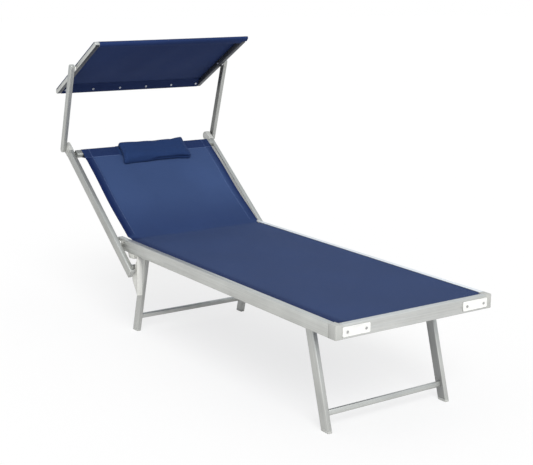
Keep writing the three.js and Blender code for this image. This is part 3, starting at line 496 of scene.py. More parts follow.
def woven_cloth(name, thread, hollow, period, lean=None, sheen=0.06, relief_depth=0.0004, stitched=True):
    finish, tree, shader = new_finish(name)
    coordinates = tree.nodes.new("ShaderNodeTexCoord").outputs
    if lean is None:
        place = coordinates["UV"]
    else:
        place = add_node(tree, "ShaderNodeVectorRotate", {"rotation_type": "X_AXIS"},
                         Vector=coordinates["Object"], Angle=-lean).outputs[0]
    parts = add_node(tree, "ShaderNodeSeparateXYZ", Vector=place).outputs
    turns = math.pi / period
    warp = reckon(tree, "SINE", reckon(tree, "MULTIPLY", parts["X"], turns))
    weft = reckon(tree, "SINE", reckon(tree, "MULTIPLY", parts["Y"], turns))
    crossing = reckon(tree, "ABSOLUTE", reckon(tree, "MULTIPLY", warp, weft))
    fleck = noise(tree, place, 650.0)
    raised = reckon(tree, "ADD", reckon(tree, "MULTIPLY", crossing, 0.45),
                    reckon(tree, "MULTIPLY", fleck, 0.6))
    woven = two_tone(tree, raised, hollow, thread, 0.25, 0.72)
    faded = scaled(tree, woven, in_range(tree, noise(tree, place, 3.5, 3.0), 0.92, 1.07))
    # Painted shade, and cloth lying double: the "shade" attribute darkens the colour.
    shade = add_node(tree, "ShaderNodeAttribute", {"attribute_name": "shade"}).outputs["Fac"]
    colour = add_node(tree, "ShaderNodeMixRGB", {"blend_type": "MULTIPLY"}, Fac=shade,
                      Color1=faded, Color2=double_cloth_and_painted_shade).outputs[0]
    if stitched:
        colour = add_node(tree, "ShaderNodeMixRGB", Fac=stitch_mask(tree, parts),
                          Color1=colour, Color2=stitch_colour).outputs[0]
    tree.links.new(colour, shader.inputs["Base Color"])
    add_relief(tree, shader, crossing, 0.5, relief_depth)
    shader.inputs["Roughness"].default_value = 0.85
    shader.inputs["Specular IOR Level"].default_value = 0.2
    shader.inputs["Sheen Weight"].default_value = sheen
    shader.inputs["Sheen Roughness"].default_value = 0.45
    shader.inputs["Sheen Tint"].default_value = sheen_blue
    return finish


# %% The finishes of the cloths
sling_cloth = woven_cloth("sling_cloth", tint("475C86"), tint("233966"), weave)
canopy_top_cloth = woven_cloth("canopy_top_cloth", tint("41588F"), tint("213A70"), fine_weave,
                               relief_depth=0.0002)
# Darker copies of the canopy cloth: painted shade underneath, and painted shade with double cloth on the
# hems.
canopy_painted_shade_cloth = woven_cloth("canopy_painted_shade_cloth", tint("293F6E"), tint("172856"), fine_weave,
                                 sheen=0.03, relief_depth=0.0002)
canopy_hem_and_painted_shade_cloth = woven_cloth("canopy_hem_and_painted_shade_cloth", tint("203462"), tint("102049"), fine_weave,
                               sheen=0.03, relief_depth=0.0002)
pillow_cloth = woven_cloth("pillow_cloth", tint("284170"), tint("152A53"), fine_weave, lean=recline,
                           sheen=0.05, relief_depth=0.0002, stitched=False)
print("threads to the metre in the sling:", round(1 / weave))

# %% [markdown]
# ## Rigid parts
# The frame's solids have the right shape, but their edges are knife-sharp, and real extrusions and
# mouldings have small rounded edges that catch the light. They could be modelled anew, but a rounded copy
# keeps every size. Each solid is copied, its doubled corners are merged, flat faces are made whole again,
# and a Bevel modifier rounds what is sharper than 40 degrees.

# %% Helpers for pieces and their modifiers
def only_select(piece):
    bpy.ops.object.select_all(action="DESELECT")
    piece.select_set(True)
    bpy.context.view_layer.objects.active = piece


def add_bevel(piece, width, segments, sharper_than=40):
    """Rounds the edges where faces meet at more than an angle in degrees."""
    rounding = piece.modifiers.new("rounding", "BEVEL")
    rounding.width = width
    rounding.segments = segments
    rounding.limit_method = "ANGLE"
    rounding.angle_limit = math.radians(sharper_than)


def apply_all(piece):
    only_select(piece)
    for modifier in list(piece.modifiers):
        bpy.ops.object.modifier_apply(modifier=modifier.name)


def smooth_shading(sharper_than):
    """Shades the selected piece smooth, apart from edges sharper than an angle in degrees."""
    bpy.ops.object.shade_smooth_by_angle(angle=math.radians(sharper_than))


def give_finish(piece, *finishes):
    piece.data.materials.clear()
    for finish in finishes:
        piece.data.materials.append(finish)


# %% A rounded copy of one solid
def rounded_copy(node_name, finish, edge_radius):
    only_select(frame["nodes"][node_name])
    bpy.ops.object.duplicate()
    piece = bpy.context.object
    piece.name = node_name + "_finished"
    body = piece["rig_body"]
    piece.parent = None
    del piece["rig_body"]
    del piece["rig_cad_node"]
    bpy.ops.mesh.customdata_custom_splitnormals_clear()
    bpy.ops.object.mode_set(mode="EDIT")
    bpy.ops.mesh.select_all(action="SELECT")
    bpy.ops.mesh.remove_doubles(threshold=0.00001)
    bpy.ops.mesh.dissolve_limited(angle_limit=math.radians(1))
    bpy.ops.object.mode_set(mode="OBJECT")
    add_bevel(piece, edge_radius, 2)
    apply_all(piece)
    smooth_shading(38)
    give_finish(piece, finish)
    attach(piece, body)
    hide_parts(node_name)
    return piece


# %% [markdown]
# Each row below is a part's name in the frame, its finish, its slot and the radius of its edges. Parts
# that stand on both sides are written once.

# %% Rounded copies of the frame's solids
both_sides = ("left", "right")
metal_edge = 0.0005
plastic_edge = 0.0012
metal = "frame_aluminium"
single_parts = [
    ("foot_rail", painted_light_foot_rail_metal, metal, metal_edge),
    ("front_leg_axle", steel, "fastener_steel", 0.0003),
    ("rear_leg_axle", steel, "fastener_steel", 0.0003),
    ("front_leg_crossbar", crossbar_metal, metal, metal_edge),
    ("rear_leg_crossbar", crossbar_metal, metal, metal_edge),
    ("backrest_top_bar", bar_metal, "dark_aluminium", metal_edge),
    ("canopy_front_bar", bar_metal, "dark_aluminium", 0.0003),
    ("canopy_rear_bar", bar_metal, "dark_aluminium", 0.0003),
]
paired_parts = [
    ("side_rail", rail_metal, metal, metal_edge),
    ("corner_connector", grey_plastic, "grey_plastic", plastic_edge),
    ("front_leg_hinge_block", grey_plastic, "grey_plastic", plastic_edge),
    ("rear_leg_hinge_block", grey_plastic, "grey_plastic", plastic_edge),
    ("recline_rack", painted_shade_rack_plastic, "white_plastic", plastic_edge),
    ("recline_pivot", white_plastic, "white_plastic", plastic_edge),
    ("backrest_tube", tube_metal, metal, metal_edge),
    ("backrest_tube_cap", grey_plastic, "grey_plastic", plastic_edge * 1.5),
    ("lever_plug", grey_plastic, "grey_plastic", plastic_edge),
    ("stop_pin", steel, "fastener_steel", 0.0008),
    ("front_leg", front_leg_metal, metal, metal_edge),
    ("rear_leg", rear_leg_metal, metal, metal_edge),
    ("front_foot", grey_plastic, "grey_plastic", 0.001),
    ("rear_foot", grey_plastic, "grey_plastic", 0.001),
    ("canopy_arm", arm_metal, metal, 0.001),
    ("canopy_arm_hub", grey_plastic, "grey_plastic", 0.0008),
    ("canopy_tilt_hub", white_plastic, "white_plastic", 0.0008),
    ("canopy_side_tube", canopy_tube_metal, metal, 0.002),
]
finished = {}
for name, finish, slot, radius in single_parts:
    finished[name] = rounded_copy(name, finish, radius)
for name, finish, slot, radius in paired_parts:
    for side in both_sides:
        node_name = f"{name}_{side}"
        finished[node_name] = rounded_copy(node_name, finish, radius)
print("rounded parts:", len(finished))

# %% [markdown]
# The legs and arms are painted darker on their inner faces, and the canopy's tubes on their inner and
# lower faces: painted shade and a painted reflection of the dark cloth that they face. The top of the far
# rail is painted lighter, as a painted reflection of the brightest part of the studio. More lamps could
# do this, but they would change the cloth too. So faces are found by the way they look, and get a
# painted finish of their own.

# %% Painted shade and painted reflection on faces of the metal
painted_shade_leg_metal = aluminium("inner_leg_painted_shade_aluminium", tint("A4A5A3"), "z", -front_leg_angle)
painted_shade_arm_metal = aluminium("inner_arm_painted_shade_aluminium", tint("757673"), "z", arm_lean)
painted_shade_tube_metal = aluminium("canopy_tube_painted_shade_underside", tint("55585E"), "y", -canopy_slope)
painted_reflection_rail_metal = aluminium("rail_top_painted_reflection_aluminium", tint("F4F7FA"), "y", roughness=0.3)


def shade_faces(piece, finish, direction, least=0.9):
    """Paints shade or light on the faces that look in a direction, by giving them a finish of their own.
    """
    piece.data.materials.append(finish)
    for polygon in piece.data.polygons:
        if polygon.normal.dot(direction) > least:
            polygon.material_index = len(piece.data.materials) - 1


under_canopy = Vector((0, -math.sin(canopy_slope), -math.cos(canopy_slope)))
for side, inward in (("left", Vector((1, 0, 0))), ("right", Vector((-1, 0, 0)))):
    shade_faces(finished["front_leg_" + side], painted_shade_leg_metal, inward)
    shade_faces(finished["canopy_arm_" + side], painted_shade_arm_metal, inward)
    shade_faces(finished["canopy_side_tube_" + side], painted_shade_tube_metal, under_canopy, 0.6)
    shade_faces(finished["canopy_side_tube_" + side], painted_shade_tube_metal, inward, 0.8)
shade_faces(finished["side_rail_right"], painted_reflection_rail_metal, Vector((0, 0, 1)))
print("finishes on the far rail:", len(finished["side_rail_right"].data.materials))

# %% [markdown]
# ## Bumper plates and screws
# Two white plates on the foot rail keep stacked loungers apart. Each is a moulded block with rounded
# corners and a shallow panel that holds its screws. The block starts as a cube, and its corners and
# edges are rounded first. Its front face is then found by its normal, inset twice and pushed back. A
# Boolean could cut the panel too, but an inset follows the rounded outline by itself.

# %% Helpers for new pieces
def place_in_mesh(piece):
    """Puts the object at the origin and keeps its place in its mesh."""
    only_select(piece)
    bpy.ops.object.transform_apply(location=True, rotation=True, scale=True)


def new_piece(name, add_primitive, **settings):
    """Adds a primitive at its place, with nothing else selected."""
    bpy.ops.object.select_all(action="DESELECT")
    add_primitive(**settings)
    piece = bpy.context.object
    piece.name = name
    place_in_mesh(piece)
    return piece


def face_towards(piece, direction, threshold=0.9):
    """Selects, in edit mode, the faces that look in a direction."""
    bpy.ops.object.mode_set(mode="OBJECT")
    for polygon in piece.data.polygons:
        polygon.select = polygon.normal.dot(Vector(direction)) > threshold
    bpy.ops.object.mode_set(mode="EDIT")
    bpy.ops.mesh.select_mode(type="FACE")


# %% Moulded plates
plate_corner = 0.004
plate_edge = 0.0008
panel_margin = 0.0022
panel_step = 0.0003
panel_depth = 0.0006


def bumper_plate(side):
    low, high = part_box(f"bumper_plate_{side}")
    plate = new_piece(f"white_bumper_plate_{side}", bpy.ops.mesh.primitive_cube_add,
                      size=1, location=(low + high) / 2, scale=high - low)
    bpy.ops.object.mode_set(mode="EDIT")
    bpy.ops.mesh.select_mode(type="EDGE")
    bpy.ops.mesh.select_all(action="DESELECT")
    bpy.ops.object.mode_set(mode="OBJECT")
    for edge in plate.data.edges:
        first, second = (plate.data.vertices[i].co for i in edge.vertices)
        edge.select = abs(first.y - second.y) > (high.y - low.y) / 2
    bpy.ops.object.mode_set(mode="EDIT")
    bpy.ops.mesh.bevel(offset=plate_corner, segments=4, affect="EDGES")
    bpy.ops.object.mode_set(mode="OBJECT")
    add_bevel(plate, plate_edge, 3)
    apply_all(plate)
    face_towards(plate, (0, -1, 0), 0.999)
    bpy.ops.mesh.inset(thickness=panel_margin)
    bpy.ops.mesh.inset(thickness=panel_step)
    bpy.ops.transform.translate(value=(0, panel_depth, 0))
    bpy.ops.object.mode_set(mode="OBJECT")
    smooth_shading(40)
    give_finish(plate, white_plastic)
    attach(plate, "root")
    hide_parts(f"bumper_plate_{side}")
    print(plate.name, "faces:", len(plate.data.polygons))


for side in both_sides:
    bumper_plate(side)

# %% [markdown]
# A pan-head screw is a cylinder whose rim is rounded into a dome. The cross in it is cut last, by a
# Boolean with two thin crossed blocks, because a drive recess has sharp walls.

# %% Screws
screw_head_height = 0.0018
recess_width = 0.0009


def plate_screw(node_name):
    low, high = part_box(node_name)
    radius = (high.x - low.x) / 2
    centre = Vector(((low.x + high.x) / 2, low.y + screw_head_height / 2, (low.z + high.z) / 2))
    screw = new_piece(node_name + "_cross_head", bpy.ops.mesh.primitive_cylinder_add, vertices=32,
                      radius=radius, depth=screw_head_height, location=centre,
                      rotation=(math.radians(90), 0, 0))
    face_towards(screw, (0, -1, 0))
    bpy.ops.mesh.bevel(offset=screw_head_height * 0.55, segments=4, affect="EDGES")
    bpy.ops.object.mode_set(mode="OBJECT")
    for long_axis in (0, 2):
        size = [recess_width, screw_head_height, recess_width]
        size[long_axis] = radius * 1.05
        blade = new_piece("drive_blade", bpy.ops.mesh.primitive_cube_add,
                          size=1, location=(centre.x, low.y, centre.z), scale=size)
        cut = screw.modifiers.new("drive", "BOOLEAN")
        cut.operation = "DIFFERENCE"
        cut.object = blade
        apply_all(screw)
        bpy.data.objects.remove(blade)
    only_select(screw)
    smooth_shading(35)
    give_finish(screw, steel)
    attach(screw, "root")
    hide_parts(node_name)
    print(screw.name, "faces:", len(screw.data.polygons))


for side in both_sides:
    for end in ("outer", "inner"):
        plate_screw(f"bumper_screw_{end}_{side}")

# %% [markdown]
# ## Cloth as a path
# All three sheets of this lounger are made in the same way. The side view of the cloth is a path: some
# straight stretches, and arcs where it goes round a bar. A grid primitive is laid along that path, each
# row of points at one place on it. Rows and columns can be set where a hem begins, which a simulation
# would not keep, and cloth pulled tight over a frame hardly folds, so no simulation is needed here.

# %% Paths in the side view
cloth_thickness = 0.0011
arc_steps = 8


def arc(place, centre, radius, start, end, steps=arc_steps):
    """Points on an arc, with angles in degrees in the (along, out) plane of the given place function."""
    angles = [math.radians(start + (end - start) * i / steps) for i in range(steps + 1)]
    return [place(centre[0] + radius * math.cos(a), centre[1] + radius * math.sin(a)) for a in angles]


def tangent_angle(point, centre, radius):
    """Where a straight stretch of cloth, coming from a point, first touches a circle below it."""
    along, out = point[0] - centre[0], point[1] - centre[1]
    return math.degrees(math.atan2(out, along) + math.acos(radius / math.hypot(along, out)))


class Path:
    """A path of (y, z) points that can be asked for the place and the outward normal at a length."""

    def __init__(self, points):
        self.points = [points[0]]
        self.reach = [0.0]
        for point in points[1:]:
            step = math.dist(point, self.points[-1])
            if step > 1e-6:
                self.reach.append(self.reach[-1] + step)
                self.points.append(point)
        self.length = self.reach[-1]

    def at(self, length):
        i = 1
        while i < len(self.points) - 1 and self.reach[i] < length:
            i += 1
        share = (length - self.reach[i - 1]) / (self.reach[i] - self.reach[i - 1])
        (y0, z0), (y1, z1) = self.points[i - 1], self.points[i]
        return Vector((0, y0 + (y1 - y0) * share, z0 + (z1 - z0) * share))

    def normal(self, length, window=0.003):
        ahead = self.at(min(length + window, self.length))
        behind = self.at(max(length - window, 0.0))
        along = (ahead - behind).normalized()
        return Vector((0, -along.z, along.y))


# %% [markdown]
# A smooth step between two places is used wherever the cloth changes its width, its sag or its shade,
# because real cloth has no sudden corners. The rows and columns of a grid are closer together where a
# hem or a bar needs them.

# %% Rows, columns and smooth steps
def smooth(value, low, high):
    """0 before low, 1 after high, and a smooth step between."""
    share = min(max((value - low) / (high - low), 0.0), 1.0)
    return share * share * (3 - 2 * share)


def fade(value, low, high):
    """1 before low, 0 after high, and a smooth step between."""
    return 1 - smooth(value, low, high)


def even(start, end, count):
    """Even places from the start up to the end, which is left to the next stretch."""
    return [start + (end - start) * i / count for i in range(count)]


def edge_columns(edge_steps, middle_count):
    """Columns at fixed distances from each edge, with even columns between."""
    inner = edge_steps[-1]
    shares = [i / middle_count for i in range(1, middle_count)]
    left = [lambda low, high, d=d: low + d for d in edge_steps]
    middle = [lambda low, high, s=s: low + inner + (high - low - 2 * inner) * s for s in shares]
    right = [lambda low, high, d=d: high - d for d in reversed(edge_steps)]
    return left + middle + right


# %% Cloth laid along a path
def cloth_along(name, rows, columns, span, path, drop):
    """A grid whose rows lie at the given lengths of the path and whose columns are places across it.

    span(length) is the cloth's lowest and highest x there, and drop(x, length) how far it sags inward.
    The second result is each point's (x, length).
    """
    bpy.ops.object.select_all(action="DESELECT")
    bpy.ops.mesh.primitive_grid_add(x_subdivisions=len(columns) - 1, y_subdivisions=len(rows) - 1, size=1)
    cloth = bpy.context.object
    cloth.name = name
    flat_places = []
    for vertex in cloth.data.vertices:
        column = columns[round((vertex.co.x + 0.5) * (len(columns) - 1))]
        length = rows[round((vertex.co.y + 0.5) * (len(rows) - 1))]
        x = column(*span(length))
        place = path.at(length) - path.normal(length) * drop(x, length)
        vertex.co = Vector((x, place.y, place.z))
        flat_places.append((x, length))
    uv = cloth.data.uv_layers.active.data
    for loop in cloth.data.loops:
        uv[loop.index].uv = flat_places[loop.vertex_index]
    print(name, "points:", len(cloth.data.vertices))
    return cloth, flat_places


def set_attribute(cloth, name, values):
    attribute = cloth.data.attributes.new(name, "FLOAT", "POINT")
    attribute.data.foreach_set("value", values)


def thicken(cloth, thickness=cloth_thickness):
    wall = cloth.modifiers.new("thickness", "SOLIDIFY")
    wall.thickness = thickness
    wall.offset = 0
    wall.use_rim = True
    apply_all(cloth)
    smooth_shading(50)


# %% [markdown]
# ## The sling
# The seat and the backrest are one long cloth. It starts in the foot rail's slot, runs flat between the
# side rails, turns up at the hip, and ends in a sleeve round the backrest's top bar, stitched to its own
# underside. Its side edges sit in the rails' slots along the seat. At the hip it is a little narrower,
# so that it clears the rails when the backrest moves, and along the backrest its hemmed edges are free.
# Two cloths would be simpler, one for each moving body, but a gap would open between them. One cloth
# that goes over from the bed's motion to the backrest's at the hip bends there as the real one does.

# %% The sling's straight stretches and its hip
seat_low, seat_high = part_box("seat_sling")
seat_level = seat_high.z - cloth_thickness / 2
cloth_start, cloth_rise = -16.5, 43.45
bar_along, bar_out = 481.0, 18.0
bar_half_depth, bar_half_height, bar_corner = 14.0, 11.0, 4.0
wrap = 0.85
hip_radius = 0.035

sleeve_top = bar_out + bar_half_height + wrap
chord_start = on_backrest(cloth_start, cloth_rise)
chord_end = on_backrest(bar_along, sleeve_top)
chord_slope = math.atan2(chord_end[1] - chord_start[1], chord_end[0] - chord_start[0])
hip_y = chord_start[0] - (chord_start[1] - seat_level) / math.tan(chord_slope)
hip_reach = hip_radius * math.tan(chord_slope / 2)
hip_points = []
for i in range(arc_steps + 1):
    angle = chord_slope * i / arc_steps
    hip_points.append((
        hip_y - hip_reach + hip_radius * math.sin(angle),
        seat_level + hip_radius * (1 - math.cos(angle)),
    ))


def chord_out(along):
    """How far out of the tubes' centre line the straight cloth lies."""
    share = (along - cloth_start) / (bar_along - cloth_start)
    return cloth_rise + (sleeve_top - cloth_rise) * share


print("the backrest's cloth slopes by", round(math.degrees(chord_slope), 1), "degrees")

# %% [markdown]
# The top bar is an oblong tube with rounded corners, so the sleeve goes round its far side in two
# quarter turns. From below the bar the cloth comes back to the backrest's underside, where it is
# stitched, with a short seam allowance.

# %% The sling's sleeve and whole path
sleeve_depth = 38.0
seam_allowance = 12.0
under_gap = 1.25
bend = bar_corner + wrap
near_along, far_along = bar_along - bar_half_depth + bar_corner, bar_along + bar_half_depth - bar_corner
high_out, low_out = bar_out + bar_half_height - bar_corner, bar_out - bar_half_height + bar_corner
seam_along = bar_along - sleeve_depth
cloth_end = seam_along - seam_allowance
sling_path = Path([
    (seat_low.y, seat_level),
    *hip_points,
    chord_end,
    *arc(on_backrest, (far_along, high_out), bend, 90, 0),
    *arc(on_backrest, (far_along, low_out), bend, 0, -90),
    on_backrest(near_along, low_out - bend),
    on_backrest(seam_along, chord_out(seam_along) - under_gap),
    on_backrest(cloth_end, chord_out(cloth_end) - under_gap),
])
hip_length = hip_y - seat_low.y
top_length = hip_length + math.dist((hip_y, seat_level), chord_end)
seam_length = top_length - sleeve_depth * millimetre
print("sling path:", round(sling_path.length, 4), "hip at", round(hip_length, 4))

# %% [markdown]
# The cloth's outline is narrower at the foot rail's corners, widest in the rails' slots, and narrower
# again from the hip up. It sags a little between its edges, and shallow folds run out from the hip.

# %% The sling's width, sag and folds
seat_half = seat_high.x
corner_half = 0.2974
hip_half = 0.2985
back_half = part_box("backrest_sling")[1].x
corner_length = 0.0252
slot_end = seat_high.y - seat_low.y
neck_end = hip_length + 0.003
seat_sag = 0.004
back_sag = 0.007
flat_top = 0.07
edge_curl = 0.0012
fold_depth = 0.0011
fold_reach = 0.055


def sling_half_width(length):
    in_slots = smooth(length, corner_length, corner_length + 0.003)
    past_slots = smooth(length, slot_end - 0.016, slot_end - 0.002)
    freed = smooth(length, neck_end, neck_end + 0.013)
    return (corner_half + (seat_half - corner_half) * in_slots + (hip_half - seat_half) * past_slots
            + (back_half - hip_half) * freed)


def sling_span(length):
    return -sling_half_width(length), sling_half_width(length)


def hip_folds(x, length):
    """Shallow folds that run out from the hip, where the cloth changes direction."""
    from_hip = length - hip_length - 0.03
    fold = math.sin(34 * x + 22 * from_hip) * math.sin(9 * x - 3)
    return fold_depth * fold * math.exp(-(from_hip / fold_reach) ** 2) * (1 - (abs(x) / seat_half) ** 6)


def sling_drop(x, length):
    """Sag in metres towards the inside of the path."""
    if length < hip_length:
        along = math.sin(math.pi * min(length / hip_length, 1.0))
        return seat_sag * along * (1 - min(abs(x) / corner_half, 1.0) ** 2) + hip_folds(x, length)
    share = (length - hip_length) / (seam_length - hip_length - flat_top)
    if share >= 1:
        return 0.0
    arch = math.sin(math.pi * share)
    curl = edge_curl * (abs(x) / back_half) ** 8
    return back_sag * arch ** 2 - curl * arch + hip_folds(x, length)


print("sling half widths:", round(seat_half, 4), hip_half, round(back_half, 4))

# %% [markdown]
# Rows of the grid are close together where the hip bends and where the seam runs, and wide apart on the
# flat seat. Columns stand at the edge, at the hem's stitches and evenly between.

# %% The sling cloth
hem_width = 0.035
seam_inset = 0.002
hip_start, hip_end = hip_length - 0.03, hip_length + 0.03
corner_end = corner_length + 0.004
seam_start, seam_end = seam_length - 0.002, seam_length + 0.002

seat_rows = even(0.0, corner_length, 3) + even(corner_length, corner_end, 4)
seat_rows += even(corner_end, hip_start, 150) + even(hip_start, hip_end, 16)
back_rows = even(hip_end, seam_start, 70) + even(seam_start, seam_end, 4)
sleeve_rows = even(seam_end, sling_path.length, 60) + [sling_path.length]
sling_rows = seat_rows + back_rows + sleeve_rows
sling_columns = edge_columns([0.0, 0.0012, 0.012, hem_width - 0.001, hem_width, hem_width + 0.001], 60)
sling, sling_flat = cloth_along("sling", sling_rows, sling_columns, sling_span, sling_path, sling_drop)


def from_sling_edge(x, length):
    return sling_half_width(length) - abs(x)


set_attribute(sling, "seam_x", [
    from_sling_edge(x, s) - (hem_width - seam_inset) if s > hip_length + 0.02 else 1.0
    for x, s in sling_flat
])
set_attribute(sling, "seam_y", [s - seam_length for x, s in sling_flat])

# %% [markdown]
# The hem is the same cloth folded double, so it stands a little proud and looks darker, because no light
# comes through it. How dark the cloth is at a place goes into the point attribute that the cloth's
# shader reads, and much of that darkness is painted shade. It is deep on the hems and the sleeve, and
# half as deep on the seat, as painted shade for the light that doesn't come through it from below; that
# fades out up the backrest. Along the seat's edges a painted shadow of the rails darkens it, deepest
# beside the near rail. The near hem is painted in shade over its whole width, and the far one mostly at
# its folded edge, because the light falls on the two sides differently.

# %% Painted shade of the sling
# Depths of painted shade; on the hems and the sleeve they stand for cloth lying double as well.
sleeve_shade = 0.73
seat_shade = 0.43
far_hem_shade = 0.4
edge_shade = 0.45


def sling_shade(x, length):
    if length > seam_length:
        return sleeve_shade
    edge = from_sling_edge(x, length)
    # Painted shade for the light that doesn't come through the seat from below, fading up the backrest.
    painted_shade_behind = seat_shade * fade(length, hip_length + 0.02, hip_length + 0.26)
    # Painted shadow of the rails along the seat's edges and foot end, deepest beside the near rail.
    rail_shadow = edge_shade * fade(min(edge, length), 0.0, 0.08)
    # The near hem is painted in shade over its whole width, the far hem mostly at its folded edge.
    if x < 0:
        rail_shadow = max(rail_shadow, fade(edge, 0.014, 0.075))
        hem = fade(edge, hem_width - 0.006, hem_width + 0.004)
    else:
        hem = max(fade(edge, 0.008, 0.018), far_hem_shade * fade(edge, hem_width - 0.003, hem_width))
    on_back = smooth(length, hip_length - 0.01, hip_length + 0.03)
    return max(painted_shade_behind, rail_shadow * (1 - on_back), hem * on_back)


shades = [sling_shade(x, s) for x, s in sling_flat]
set_attribute(sling, "shade", shades)
give_finish(sling, sling_cloth)
print("shades of the sling: from", round(min(shades), 2), "to", round(max(shades), 2))

# %% Hems and thickness of the sling
hem_proud = 0.0005


def is_double(x, length):
    on_hem = length > hip_length + 0.02 and from_sling_edge(x, length) < hem_width
    return on_hem or length > seam_length


for vertex, (x, length) in zip(sling.data.vertices, sling_flat):
    if length < top_length - 0.006 and is_double(x, length):
        vertex.co += sling_path.normal(length) * hem_proud
thicken(sling)
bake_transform(sling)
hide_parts("seat_sling", "backrest_sling")
print("sling faces:", len(sling.data.polygons))

# %% [markdown]
# ## The canopy cloth
# The canopy is a rigid frame, two side tubes and two bars, with one cloth over it. At the front and at
# the rear the cloth goes round the bar and is stitched to itself in a deep hem; the rear hem has six
# snaps for a neck flap. The sleeves fit between the side tubes, and the panel lies over the tubes. It
# could be a panel with two separate sleeves, but one grid keeps the fold at each bar whole.

# %% The canopy's side view
tube_low, tube_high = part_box("canopy_side_tube_right")
bar_place = 210.2
bar_wrap = 10.85
rear_sleeve = 42.0
front_sleeve = 26.0
wrap_steps = 18
under_out = bar_wrap - under_gap

rear_start = (bar_place - rear_sleeve, under_out)
front_start = (bar_place - front_sleeve, under_out)
rear_touch = tangent_angle(rear_start, (bar_place, 0), bar_wrap)
front_touch = tangent_angle(front_start, (bar_place, 0), bar_wrap)


def on_canopy_front(along, out):
    return on_canopy(-along, out)


rear_wrap = arc(on_canopy, (bar_place, 0), bar_wrap, rear_touch - 360, 90, wrap_steps)
front_wrap = arc(on_canopy_front, (bar_place, 0), bar_wrap, front_touch - 360, 90, wrap_steps)
canopy_path = Path([
    on_canopy_front(*front_start),
    *front_wrap,
    *reversed(rear_wrap),
    on_canopy(*rear_start),
])
front_turn = Path([on_canopy_front(*front_start), *front_wrap]).length
rear_turn = canopy_path.length - Path([on_canopy(*rear_start), *rear_wrap]).length
print("canopy path:", round(canopy_path.length, 4),
      "panel from", round(front_turn, 4), "to", round(rear_turn, 4))

# %% [markdown]
# The front sleeve is loose. On the near side it is as narrow as the bar, and on the far side it is as
# wide as the panel and stands ahead of the bar like a nose. The panel sags between its tubes, and its
# side edges curl down over them in a small lip.

# %% The canopy's width, nose and sag
tube_inner, tube_outer = tube_low.x, tube_high.x
sleeve_half = tube_inner - 0.002
panel_half = tube_outer + 0.0015
canopy_sag = 0.006
canopy_pull = 0.0009
nose_reach = 0.020
nose_turn = math.radians(154)
nose_start = front_turn - nose_turn * bar_wrap * millimetre


def canopy_span(length):
    wider = panel_half - sleeve_half
    at_rear = smooth(length, rear_turn, rear_turn + 0.003)
    near = sleeve_half + wider * (smooth(length, front_turn - 0.003, front_turn) - at_rear)
    far = sleeve_half + wider * (smooth(length, nose_start - 0.001, nose_start) - at_rear)
    return -near, far


def nose(x, length):
    """How far the loose front sleeve stands ahead of its bar: more and more towards the far side."""
    turned = (front_turn - length) / (bar_wrap * millimetre)
    if not 0 < turned < math.pi:
        return 0.0
    return nose_reach * (x + panel_half) / (2 * panel_half) * math.sin(turned)


def canopy_drop(x, along):
    """Sag at a place along the slope, the same for the panel and for the hem under it."""
    share = (along / bar_place + 1) / 2
    if not 0 < share < 1:
        return 0.0
    between = max(0.0, 1 - (abs(x) / (tube_inner - 0.004)) ** 4)
    pull = canopy_pull * math.sin(38 * x + 5 * share)
    return (canopy_sag + pull) * math.sin(math.pi * share) * between


print("canopy half widths:", round(sleeve_half, 4), round(panel_half, 4))

# %% The canopy cloth
side_hem = 0.016
side_curl = 0.0028
side_lip = 0.0032
fine = 0.004
outward = Vector((0, math.sin(canopy_slope), math.cos(canopy_slope)))
along_slope = Vector((0, math.cos(canopy_slope), -math.sin(canopy_slope)))


def canopy_along(point):
    return (point - tilt_pivot).dot(along_slope) / millimetre


canopy_rows = even(0.0, nose_start - 0.001, 16) + even(nose_start - 0.001, nose_start + 0.001, 4)
canopy_rows += even(nose_start + 0.001, front_turn - fine, 14)
canopy_rows += even(front_turn - fine, front_turn + fine, 8)
canopy_rows += even(front_turn + fine, rear_turn - fine, 60)
canopy_rows += even(rear_turn - fine, rear_turn + fine, 8)
canopy_rows += even(rear_turn + fine, canopy_path.length, 34) + [canopy_path.length]
canopy_edge = [0.0, side_curl * 0.35, side_curl * 0.7, side_curl, side_hem, side_hem + 0.006]
canopy, canopy_flat = cloth_along("canopy_cloth", canopy_rows, edge_columns(canopy_edge, 56),
                                  canopy_span, canopy_path, lambda x, length: 0.0)
for vertex, (x, length) in zip(canopy.data.vertices, canopy_flat):
    vertex.co -= outward * canopy_drop(x, canopy_along(vertex.co)) + along_slope * nose(x, length)
    if front_turn <= length <= rear_turn:
        vertex.co -= outward * side_lip * max(0.0, 1 - (panel_half - abs(x)) / side_curl) ** 1.5

# %% [markdown]
# Four seams show on the canopy: one along each side hem, and one across it where each sleeve is stitched
# to the panel above it.

# %% Seams of the canopy cloth
rear_seam = rear_turn - rear_sleeve * millimetre
front_seam = front_turn + front_sleeve * millimetre
set_attribute(canopy, "seam_x", [
    (panel_half - abs(x)) - (side_hem - seam_inset) if front_turn < s < rear_turn else 1.0
    for x, s in canopy_flat
])
set_attribute(canopy, "seam_y", [min(s - front_seam, rear_seam - s, key=abs) for x, s in canopy_flat])
print("seams across the canopy at", round(front_seam, 4), "and", round(rear_seam, 4))

# %% [markdown]
# The cloth gets darker copies of itself as painted shade: a dark one underneath, where the sun doesn't
# reach, and a darkest one on the hems, which are double as well. After the thickness is made, each face
# is judged by its place and by how far it faces out of the canopy. The rear hem gets the hem cloth on all
# but its top, and so does the rounded edge ahead of the front bar. What is left and doesn't face out gets
# the painted shade cloth of the underside.

# %% Painted shade on the underside and hems of the canopy cloth
under_facing = 0.3
hem_facing = 0.85
top_facing = 0.97

